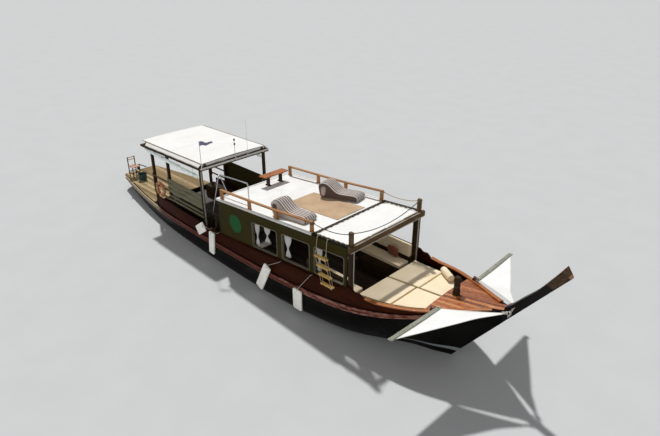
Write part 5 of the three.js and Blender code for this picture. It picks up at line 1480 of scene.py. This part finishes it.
def loungers(m):
    """Bean-bag loungers: a closed profile with rounded flanks, swelled, with a seam along each flank."""
    half, middle = 0.28, 0.17
    outline = smooth_path([(a, 0, b) for a, b in LOUNGER_PROFILE + LOUNGER_PROFILE[:1]], 0.05)[:-1]
    for name, x, y, turn, lift in LOUNGERS:
        build = Build()
        build.loft([[(p.x * k, across * (half - 0.012), middle + (p.z - middle) * k if p.z > 0.01 else 0.004)
                     for p in outline] for across, k in LOUNGER_FLANKS])
        place_at = Matrix.Translation(on_roof(x, y, lift)) @ Matrix.Rotation(-math.atan(ROOF_RISE), 4, "Y") \
            @ Matrix.Rotation(turn, 4, "Z")
        build.move(place_at)
        bag = build.object(f"lounger_bag_{name}", m[f"lounger_{name}"])
        puff(bag, 0.016, 0.016, floor=lambda p, lift=lift: roof_z(p.x) + lift - 0.001)
        place(bag, "lounger_fabric", f"lounger_{name}")
        tree = BVHTree.FromObject(bag, bpy.context.evaluated_depsgraph_get())
        seams = Build()
        for across in (-1, 1):
            probes = [(p.x * 1.02, across * half * 1.01, middle + (p.z - middle) * 1.02) for p in outline]
            seams.tube([tree.find_nearest(place_at @ Vector(probe))[0] for probe in probes], 0.005, 6,
                       loop=True)
        place(seams.object(f"lounger_seams_{name}", m["seam"]), "lounger_fabric")


# Boarding gear

def boarding_ladder(m):
    x0, y0, width, depth, tread, count = 4.21, -1.605, 0.43, 0.115, 0.026, 4
    top, pitch, lean = 2.235, 0.248, 0.075
    treads, ropes = Build(), Build()
    for i in range(count):
        x, z = x0 + i * lean, top - i * pitch
        treads.beam((x, y0, z - 0.013), (x + width, y0, z - 0.013), depth, tread, bevel=0.008)
    radius, shift, drop = 0.010, lean * (count - 1), (count - 1) * pitch + 0.03
    for x in (x0 + 0.035, x0 + (width - 0.035)):
        hook = x - 0.03
        head = roof_z(hook) + 0.0115
        for face in (-1, 1):
            y = y0 + face * 0.035
            route = [(x + shift, y, top - drop), (x, y, top + 0.01),
                     (x - 0.005, y0 + face * 0.012, top + 0.12)]
            ropes.tube(smooth_path(route, 0.05), radius * 0.8, 7)
        route = [(x - 0.005, y0, top + 0.11), (hook, -ROOF_HALF - 0.045, head - 0.08),
                 (hook, -ROOF_HALF - 0.02, head - 0.004), (hook, -ROOF_HALF + 0.03, head),
                 (hook, -ROOF_HALF + 0.09, head)]
        ropes.tube(smooth_path(route, 0.03), radius, 8)
        ropes.knot((x - 0.005, y0, top + 0.115), 0.016, radius=0.009)
        for i in range(count):
            for face in (-1, 1):
                ropes.knot((x + i * lean, y0 + face * 0.035, top - i * pitch - 0.045), 0.011, turns=2)
    place(treads.object("ladder_treads", m["tread"]), "ladder_timber", "boarding_ladder")
    place(ropes.object("ladder_ropes", m["tan_rope"]), "ladder_timber")


FENDERS = [  # x and height of the top edge, width, length, lean, where the lanyard crosses the bulwark
    (-1.02, 1.165, 0.33, 0.48, 0.95, -0.93), (-0.56, 1.12, 0.26, 0.80, 0.12, -0.50),
    (2.31, 1.09, 0.29, 1.00, 0.47, 2.66), (3.59, 0.89, 0.33, 0.65, 0.02, 3.96),
]
FENDER_THICK = 0.055


def fenders(m):
    thick = FENDER_THICK
    for number, (x, z, width, length, lean, hook) in enumerate(FENDERS):
        outer = max(sheer_half(at) for at in (x, x + 0.2, x - 0.5)) + 0.0455
        build = Build()
        rings = []
        for out, k in ((0.0, 0.975), (0.008, 1.0), (thick - 0.012, 1.0), (thick - 0.003, 0.985),
                       (thick, 0.96)):
            ring = []
            for a, b in rounded(width, length, 0.035, 4):
                bend = 0.006 * math.sin(3.0 * b / length + number)
                ring.append(Vector((a * k, -out + bend, b * (1 - (1 - k) * width / length) - length / 2)))
            rings.append(ring)
        build.loft(rings)
        turn = Matrix.Translation((x, -outer - 0.004, z)) @ Matrix.Rotation(lean, 4, "Y")
        build.move(turn)
        eyelet = turn @ Vector((0, -thick * 0.5, -0.045))
        ring = [turn @ Vector((0.02 * c, -thick - 0.001, -0.045 + 0.02 * s)) for c, s in ring_of(20)]
        build.tube(ring, 0.004, 6, slot=1, loop=True)
        place(build.object(f"fender_board_{number + 1}", m["foam"], m["steel"]), "foam",
              f"fender_{number + 1}")
        edge, seat = bulwark_outer(hook), bulwark_top(hook) + 0.008
        rope = Build()
        start = eyelet + Vector((0, -thick * 0.55, 0.004))
        route = [start, eyelet + Vector((0, -thick * 0.5, 0.035)), eyelet + UP * 0.065,
                 (hook - 0.02, -edge - 0.045, seat - 0.02), (hook, -edge - 0.008, seat + 0.004),
                 (hook, -edge + 0.022, seat), (hook + 0.005, -edge + 0.04, seat - 0.01)]
        rope.tube(smooth_path(route, 0.03), 0.007, 7)
        back = [start, eyelet + Vector((0, thick * 0.52, 0.03)), eyelet + UP * 0.07]
        rope.tube(smooth_path(back, 0.02), 0.007, 7)
        rope.knot(eyelet + UP * 0.075, 0.011, radius=0.006)
        place(rope.object(f"fender_lanyard_{number + 1}", m["rope"]), "foam")


# Aft cockpit and canopy

CANOPY_POSTS = [(-4.85, 1.19), (-3.78, 1.19), (-1.48, 1.30)]
CANOPY_RIBS = (CANOPY_AFT_X + 0.04, -3.4, CANOPY_POSTS[2][0])
EAVE_Y, EAVE_DROP, FLAT_HALF = 1.42, 0.09, 1.29
EAVE_BEAM_INNER, EAVE_BEAM_OUTER, EAVE_BEAM_DEPTH = 1.368, 1.414, 0.078
FRONT_BEAM_X = CANOPY_FRONT_X + 0.025
POLES = [(-1.33, 0.845, 0.011), (0.0, 0.595, 0.011), (0.52, 1.15, 0.007)]  # across, height, radius


def frame_top(x):
    return canopy_z(x) - CANVAS_THICK - GAP


def eave_beam_top(x):
    return frame_top(x) - EAVE_DROP


def canopy_timbers(m):
    build = Build()
    eave_middle, eave_width = (EAVE_BEAM_INNER + EAVE_BEAM_OUTER) / 2, EAVE_BEAM_OUTER - EAVE_BEAM_INNER
    for side in (1, -1):
        for x, y in CANOPY_POSTS:
            ledge = sheer_half(x) - 0.23 < y + POST_SIZE / 2
            foot = sheer_z(x) + 0.002 if ledge else SOLE_TOP
            build.post(x, side * y, foot, eave_beam_top(x) - 0.005, POST_SIZE, POST_SIZE)
        for y, top, width, deep in ((1.175, frame_top, 0.07, 0.165),
                                    (eave_middle, eave_beam_top, eave_width, EAVE_BEAM_DEPTH)):
            ends = [(x, side * y, top(x) - deep / 2) for x in (CANOPY_AFT_X, CANOPY_FRONT_X)]
            build.beam(*ends, width, deep)
    for x in CANOPY_RIBS:
        top = frame_top(x - 0.04) - 0.001
        for y, drop, width, depth in ((1.18, 0.0375, 0.08, 0.075), (1.404, 0.124, 0.06, 0.068)):
            build.beam((x, -y, top - drop), (x, y, top - drop), width, depth)
    beam_top = eave_beam_top(FRONT_BEAM_X)
    ends = [(FRONT_BEAM_X - 0.02, y, beam_top - 0.05) for y in (-EAVE_BEAM_OUTER, EAVE_BEAM_OUTER)]
    build.beam(*ends, 0.08, 0.10)
    place(build.object("canopy_timbers", m["frame"]), "dark_timber", "canopy_frame")
    x, y = CANOPY_POSTS[2]
    strip = Build()
    strip.post(x + POST_SIZE / 2 + 0.003, -y - 0.008, SOLE_TOP + 0.01, eave_beam_top(x) - 0.11, 0.05, 0.008)
    place(strip.object("canopy_post_strip", m["pale_edge"]), "dark_timber")
    poles = Build()
    for y, height, radius in POLES:
        top = beam_top - 0.04 + 0.1 + height
        poles.tube([(FRONT_BEAM_X, y, beam_top - 0.04), (FRONT_BEAM_X, y, top)], radius, 10,
                   taper=lambda t, r=radius: 1 - 0.3 * t * (r < 0.01))
        poles.turned([(0, 0.03), (0.012, 0.03), (0.02, radius * 1.6), (0.05, radius * 1.5)],
                     (FRONT_BEAM_X, y, beam_top), UP, 16)
    for up in (0.46, 0.61):
        poles.turned([(0, 0.014), (0.01, 0.026), (0.035, 0.03), (0.06, 0.026), (0.072, 0.012)],
                     (FRONT_BEAM_X, 0, beam_top + up), UP, 18, slot=1)
    place(poles.object("canopy_poles", m["steel"], m["dark_paint"]), "steel_tube")


def canopy_cloth(m):
    """One sheet over the canopy frame, drawn tight over its ribs, with hems, tape, valance and front flap."""
    aft, front = CANOPY_AFT_X - 0.02, CANOPY_FRONT_X - 0.06
    columns, flap_columns = 72, 4
    flap_aft, flap_cut = CANOPY_AFT_X + 0.30, 0.07

    def drop(y):
        y = abs(y)
        return EAVE_DROP * max(0, (y - FLAT_HALF) / (EAVE_Y - FLAT_HALF)) - 0.025 * max(0, 1 - y / FLAT_HALF)

    def across(u, x):
        """Where a column lies across; the flaps start a little forward of the aft edge."""
        column = abs(2 * u - 1) * columns / 2
        inner = columns / 2 - flap_columns
        if column <= inner:
            return math.copysign(FLAT_HALF * column / inner, u - 0.5)
        width = (EAVE_Y - FLAT_HALF) * min(1, max(0.06, (x - flap_aft) / flap_cut))
        return math.copysign(FLAT_HALF + width * (column - inner) / flap_columns, u - 0.5)

    def at(u, v):
        x = aft + (front - aft) * v
        y = across(u, x)
        nearest = min(abs(x - rib) for rib in CANOPY_RIBS)
        sag = 0.012 * min(1, nearest / 0.9) ** 0.7 * max(0, 1 - (y / 1.3) ** 4)
        scallop = 0.010 * (math.sin(5.2 * x) ** 2) * max(0, (abs(y) - 1.32) / 0.1)
        return Vector((x, y, canopy_z(x) - drop(y) - sag - 0.002 - scallop))

    cloth = cloth_piece("canopy_cloth", m["canvas"], 0.004, columns, 90, at, "canvas", "canopy_canvas")
    hem, tape = Build(), Build()
    fold = flap_columns / columns
    binding, band = (0.001, rounded(0.02, 0.008, 0.003, 1)), (0.003, rounded(0.045, 0.006, 0.002, 1))
    for u, (up, section) in ((0.0, binding), (1.0, binding), (fold, band), (1 - fold, band)):
        tape.sweep([at(u, v / 60) + UP * up for v in range(61)], section)
    tape_piece = place(tape.object("canopy_tape", m["canvas_tape"]), "canvas")
    edge, seam = (0.001, rounded(0.03, 0.009, 0.003, 1)), (0.0025, rounded(0.022, 0.003, 0.001, 1))
    for v, (up, section) in ((0.0, edge), (1.0, edge), (0.25, seam), (0.5, seam), (0.75, seam)):
        hem.sweep([at(u / 48, v) + UP * up for u in range(49)], section)
    hem_piece = place(hem.object("canopy_hem", m["canvas"]), "canvas")

    def hang(u, v):
        y = (2 * u - 1) * 1.40
        x = FRONT_BEAM_X + 0.024 + 0.006 * math.sin(23 * y) * v
        z = eave_beam_top(FRONT_BEAM_X) + 0.004 - 0.062 * v - 0.004 * math.sin(9 * y) ** 2 * v
        return Vector((x, y, z))

    front_piece = cloth_piece("canopy_valance", m["canvas_hem"], 0.003, 80, 6, hang, "canvas")
    flap_drop = 0.095

    def fall(u, v):
        y = (2 * u - 1) * FLAT_HALF
        return Vector((front + 0.006 + 0.004 * math.sin(11 * y) * v, y,
                       canopy_z(front) - 0.012 - flap_drop * v))

    flap_piece = cloth_piece("canopy_flap", m["canvas"], 0.003, 72, 6, fall, "canvas")


ROLL_TIES = (0.06, 0.36, 0.66, 0.95)  # shares of the length
ROLL = {"y": 1.352, "radius": 0.064, "aft": -4.93, "front": -1.64, "front_drop": 0.205}


def curtain_rolls(m):
    """A clear side curtain rolled up on itself and tied under the eave beam, on each side."""
    radius, turns = ROLL["radius"], 3.2

    def beam_foot(x):
        return eave_beam_top(x) - EAVE_BEAM_DEPTH

    for name, side in SIDES.items():
        y = side * ROLL["y"]
        start = Vector((ROLL["aft"], y, beam_foot(ROLL["aft"]) - radius - 0.0005))
        end = Vector((ROLL["front"], y, beam_foot(ROLL["front"]) - radius - ROLL["front_drop"]))

        def at(u, v):
            a = 2 * math.pi * turns * u
            r = 0.018 + (radius - 0.016) * u
            waist = 1 - 0.10 * sum(math.exp(-((v - t) / 0.012) ** 2) for t in ROLL_TIES)
            ripple = 1 + 0.05 * math.sin(17 * v + 2.4 * a) + 0.03 * math.sin(41 * v + a)
            sag = -0.012 * math.sin(math.pi * v)
            loose = 0.13 * math.exp(-((v - 0.2) / 0.09) ** 2) + 0.07 * math.exp(-((v - 0.52) / 0.07) ** 2)
            tail = (loose + 0.015) * max(0, u - 0.95) / 0.05
            spoke = Vector((0, side * math.cos(a), math.sin(a)))
            return start.lerp(end, v) + spoke * r * waist * ripple + UP * (sag - tail)

        roll = cloth_piece(f"rolled_curtain_{name}", m["clear"], 0.0015, 72, 90, at, "clear_sheet",
                           f"curtain_roll_{name}")
        ties = Build()
        for v in ROLL_TIES:
            p = start.lerp(end, v) - UP * 0.012 * math.sin(math.pi * v)
            loop = [(p.x, p.y + side * c * 0.060, p.z + s * 0.060) for c, s in ring_of(20)]
            ties.sweep(loop, rounded(0.022, 0.004, 0.001, 1), up=FORE, loop=True)
            strap_y, strap_top = p.y + side * 0.036, max(beam_foot(p.x), p.z + 0.05)
            ties.beam((p.x, strap_y, p.z + 0.03), (p.x, strap_y, strap_top), 0.022, 0.004, up=(0, 1, 0))
        place(ties.object(f"curtain_ties_{name}", m["canvas_hem"]), "canvas")


PLANKS = [(1.435, 1.590), (1.620, 1.775), (1.805, 1.960)]
LOWER_RAILS = [(1.12, 1.18), (1.26, 1.33)]
AFT_RAILS = [(1.13, 1.19), (1.43, 1.49), (1.76, 1.82)]
SIDE_RAIL_Y = 1.19 + POST_SIZE / 2 + GAP


def cockpit_sides(m):
    aft_x, mid_x, front_x = CANOPY_POSTS[0][0], CANOPY_POSTS[1][0], CANOPY_POSTS[2][0] - POST_SIZE / 2 - GAP
    for name, side in SIDES.items():
        build = Build()
        for x, top in ((aft_x, 1.86), (mid_x, 1.965), (front_x - 0.06, 1.965)):
            build.post(x, side * (SIDE_RAIL_Y + 0.013), 1.075, top, 0.026, 0.076, slot=1)
        for rows, out, start, end, thick, slot in (
                (PLANKS + LOWER_RAILS, 0.032, mid_x - 0.02, front_x, 0.024, 0),
                (AFT_RAILS, 0.031, aft_x - 0.04, mid_x + 0.03, 0.022, 2)):
            for low, high in rows:
                y, z = side * (SIDE_RAIL_Y + out), (low + high) / 2
                build.beam((start, y, z), (end, y, z), thick, high - low, slot=slot, bevel=0.005)
        piece = build.object(f"cockpit_planks_{name}", m["grey_plank"], m["frame"], m["post"])
        place(piece, "grey_plank", f"cockpit_side_{name}")
        if name == "port":
            lining = Build()
            y = SIDE_RAIL_Y + 0.012
            lining.beam((-3.74, y, 1.525), (-1.53, y, 1.525), 0.012, 0.93)
            place(lining.object("cockpit_lining", m["olive"]), "olive_paint")


def cockpit_seats(m):
    aft, front, deep, tall = -4.5, -1.9, 0.42, 0.41
    outer = sheer_half(aft) - 0.25
    inner = outer - deep
    for name, side in SIDES.items():
        build = Build()
        for i in range(4):
            y = side * (inner + deep * (i + 0.5) / 4)
            build.beam((aft, y, 0.905), (front, y, 0.905), deep / 4 - 0.008, 0.03)
        for i in range(3):
            y, z = side * (inner + 0.012), SOLE_TOP + tall * (i + 0.5) / 3
            build.beam((aft + 0.01, y, z), (front - 0.01, y, z), 0.022, tall / 3 - 0.006)
        for x in (-4.48, -1.92):
            build.beam((x, side * (inner + 0.02), 0.685), (x, side * (outer - 0.004), 0.685), 0.024, 0.405)
        place(build.object(f"cockpit_bench_{name}", m["frame"]), "dark_timber", f"cockpit_seat_{name}")


def lifebuoy(m):
    centre = Vector((-4.27, -(SIDE_RAIL_Y + GAP + 0.042 + 0.058), 1.40))
    big, tube = 0.235, 0.058
    around, about = 64, 18

    def on_ring(a, b, radius=tube):
        """A point round the ring's tube: a is the angle round the ring, b the angle round the tube."""
        out = Vector((math.cos(a), 0, math.sin(a)))
        return centre + out * (big + radius * math.cos(b)) + Vector((0, radius * math.sin(b), 0))

    build = Build()
    build.loft([[on_ring(a, b) for b in angles(about)] for a in angles(around)],
               [[(i / around, 0, 0)] * about for i in range(around)], loop=True)
    place(build.object("lifebuoy_ring", m["lifebuoy"]), "lifebuoy_shell", "lifebuoy")
    rope = Build()
    for quarter in range(4):
        start = math.pi / 4 + quarter * math.pi / 2
        path = []
        for i in range(17):
            a, slack = start + math.pi / 2 * i / 16, math.sin(math.pi * i / 16)
            r = big + tube + 0.006 + 0.014 * slack
            path.append(centre + Vector((math.cos(a) * r, -0.004 * slack, math.sin(a) * r)))
        rope.tube(path, 0.006, 6)
        rope.tube([on_ring(start, b, tube + 0.003) for b in angles(24)], 0.007, 6, loop=True)
    place(rope.object("lifebuoy_rope", m["tan_rope"]), "lifebuoy_shell")


def helm_seat(m):
    build = Build()
    x, y, half_x, half_y, seat = -7.88, -0.56, 0.17, 0.15, 0.41
    deck = sheer_z(x) + 0.039
    for dx in (-half_x, half_x):
        for dy in (-half_y, half_y):
            build.post(x + dx, y + dy, deck, 1.48 if dx < 0 else 1.11, 0.034, 0.034)
    for i in range(4):
        at_x = x - 0.2 + seat * (i + 0.5) / 4
        build.beam((at_x, y - 0.18, 1.105), (at_x, y + 0.18, 1.105), seat / 4 - 0.006, 0.036, bevel=0.01,
                   slot=1)
    for z in (1.36, 1.45):
        build.beam((x - 0.172, y - 0.165, z), (x - 0.172, y + 0.165, z), 0.022, 0.036, bevel=0.008, slot=1)
    for dx in (-half_x, half_x):
        build.beam((x + dx, y - half_y, 0.86), (x + dx, y + half_y, 0.86), 0.022, 0.03)
    for dy in (-half_y, half_y):
        build.beam((x - half_x, y + dy, 0.80), (x + half_x, y + dy, 0.80), 0.022, 0.03)
    place(build.object("helm_chair", m["frame"], m["chair"]), "stern_seat_timber", "helm_seat")


# Wings

def wing(m, name, side):
    """A bow wing: cloth with drawn-in edges on a flat boom, lashed at both ends of its hinge line."""
    def mirror(p):
        return mirrored(p, side)

    outward = (Vector((0, 1, 0)) - WING_AXIS * WING_AXIS.y).normalized()
    up = WING_AXIS.cross(outward)
    up = up if up.z > 0 else -up
    level = mirror(up)
    root, nose = WING_ROOT + WING_AXIS * 0.08, WING_NOSE - WING_AXIS * 0.075
    near = root + outward * 0.012
    middle = root.lerp(WING_NOSE, 0.5)
    body = f"wing_{name}"

    def at(u, v):
        """u runs from the boom to the nose, v from the hinge edge to the leech."""
        arch = 4 * u * (1 - u)
        hinge = near.lerp(nose + outward * 0.01, u) + outward * 0.025 * arch
        leech = WING_TIP.lerp(nose + outward * 0.02, u)
        leech = leech + (middle - leech).normalized() * 0.09 * arch
        belly = 0.035 * math.sin(math.pi * min(1, v)) * math.sin(math.pi * min(1, u * 0.9 + 0.05)) * (1 - u)
        return mirror(hinge.lerp(leech, v) - up * belly)

    cloth = cloth_piece(f"wing_cloth_{name}", m["wing_cloth"], 0.003, 44, 40, at, "wing_cloth", body,
                        body=body)
    trim = Build()
    for v in (0.0, 1.0):
        trim.sweep([at(u / 44, v) for u in range(45)], rounded(0.028, 0.008, 0.003, 1), up=level)
    trim.sweep([at(0, v / 30) for v in range(31)], rounded(0.03, 0.008, 0.003, 1), up=level)
    hem = place(trim.object(f"wing_hem_{name}", m["canvas_hem"]), "wing_cloth", body=body)
    spar = Build()
    start = mirror(root + outward * 0.005 + up * 0.010)
    tip = mirror(WING_TIP + (WING_TIP - root).normalized() * 0.04 + up * 0.010)
    spar.beam(start, tip, 0.118, 0.030, up=level, bevel=0.010)
    # A dark-painted strip along the boom's lower edge is painted shade: it stands for the shade on the boom's
    # underside.
    edge = (mirror(WING_TIP) - start).normalized().cross(level) * side
    shade_strip_offset = edge * -0.052 - level * 0.022
    spar.beam(start + shade_strip_offset, tip + shade_strip_offset, 0.03, 0.028, up=level, slot=1)
    place(spar.object(f"wing_boom_{name}", m["boom"], m["dark_paint"]), "wing_cloth", body=body)
    ties = Build()
    boom_axis = (tip - start).normalized()
    across = boom_axis.cross(level).normalized()
    for t in (0.04, 0.3, 0.55, 0.8, 0.97):
        loop = [start.lerp(tip, t) + (level * s * 0.022 + across * c * 0.066) for c, s in ring_of(18)]
        for shift in (-0.008, 0.008):
            ties.tube([p + boom_axis * shift for p in loop], 0.005, 6, loop=True)
    root_end, nose_end, cloth_nose = mirror(WING_ROOT), mirror(WING_NOSE), mirror(nose)
    hinge = (nose_end - root_end).normalized()
    ties.tube([root_end - hinge * 0.07, start + hinge * 0.02], 0.011, 8)
    ties.tube([nose_end + hinge * 0.03, cloth_nose - hinge * 0.05], 0.011, 8)
    ties.knot(start + hinge * 0.005, 0.040, boom_axis, radius=0.009)
    ties.knot(cloth_nose - hinge * 0.02, 0.022, hinge, turns=5, radius=0.009)
    place(ties.object(f"wing_ties_{name}", m["rope"]), "wing_cloth", body=body)


# Rigging and small things

def rope_rails(m):
    build = Build()
    for side, slot in ((1, 0), (-1, 1)):
        post = on_roof(3.92, side * 1.42, 0.29)
        head = Vector((AWNING_POST_X, side * 1.40, 3.14))
        build.tube(hanging(post, head, 0.10), 0.011, 7, slot=slot)
        build.knot(head, 0.060, slot=slot, turns=2)
        build.knot(post - UP * 0.03, 0.062, slot=slot, turns=2)
    build.tube(hanging((AWNING_POST_X, 1.36, 3.15), (AWNING_POST_X, -1.36, 3.15), 0.22, 28), 0.012, 7, slot=1)
    place(build.object("rope_rails", m["tan_rope"], m["dark_rope"]), "canvas")


def pennant(m):
    """A small plain pennant, a still sheet that stands out forward and to port from its pole."""
    head = Vector((CANOPY_FRONT_X + 0.036, POLES[0][0] + 0.004, eave_beam_top(CANOPY_FRONT_X) + 0.90))

    def at(u, v):
        swing = 0.03 * math.sin(8 * u + 0.6) * u**0.6
        drop = (0.05 + 0.10 * (1 - u)) * v + 0.02 * u - 0.012 * math.sin(9 * u)
        return head + Vector((0.29 * u - swing, 0.29 * u + swing, -drop))

    flag = cloth_piece("pennant", m["pennant"], 0.0015, 26, 6, at, "canvas")


def stern_tub(m):
    """A plain teal tub on the stern deck."""
    build = Build()
    profile = [(0, 0.14), (0.01, 0.15), (0.26, 0.175), (0.275, 0.185), (0.285, 0.18), (0.28, 0.165),
               (0.03, 0.13)]
    build.turned(profile, (-7.30, -0.52, sheer_z(-7.3) + 0.0385), UP, 28)
    place(build.object("stern_tub", m["teal"]), "pale_plank")


NODE_MATERIALS = {
    "hull": "hull", "prow": "prow", "pad_deck": "pad_deck", "bow_deck": "bow_deck", "aft_deck": "aft_deck",
    "cockpit_sole": "sole", "cabin_sole": "sole", "engine_block": "iron", "side_panel_port": "olive",
    "side_panel_starboard": "olive", "cabin_bulkhead": "olive", "roof": "white_deck", "propeller": "bronze",
    "rudder": "dark_paint",
}


def assemble():
    camera()
    studio()
    m = make_materials()
    for node, material in NODE_MATERIALS.items():
        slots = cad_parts[node].data.materials
        slots.clear()
        slots.append(m[material])
    for make in (hull_skin, rub_rails, bulwarks, cap_rails, prow_skin, samson_post, window_trim, emblem_place,
                 curtains, awning_timbers, awning_cloth, roof_rails, roof_edges, deck_bench, companion_stair,
                 sun_pads, bolster, fore_benches, pillow, sun_mat, loungers, boarding_ladder, fenders,
                 canopy_timbers, canopy_cloth, curtain_rolls, cockpit_sides, cockpit_seats, lifebuoy,
                 helm_seat):
        make(m)
    for name, side in SIDES.items():
        wing(m, name, side)
    for make in (rope_rails, pennant, stern_tub):
        make(m)


assemble()
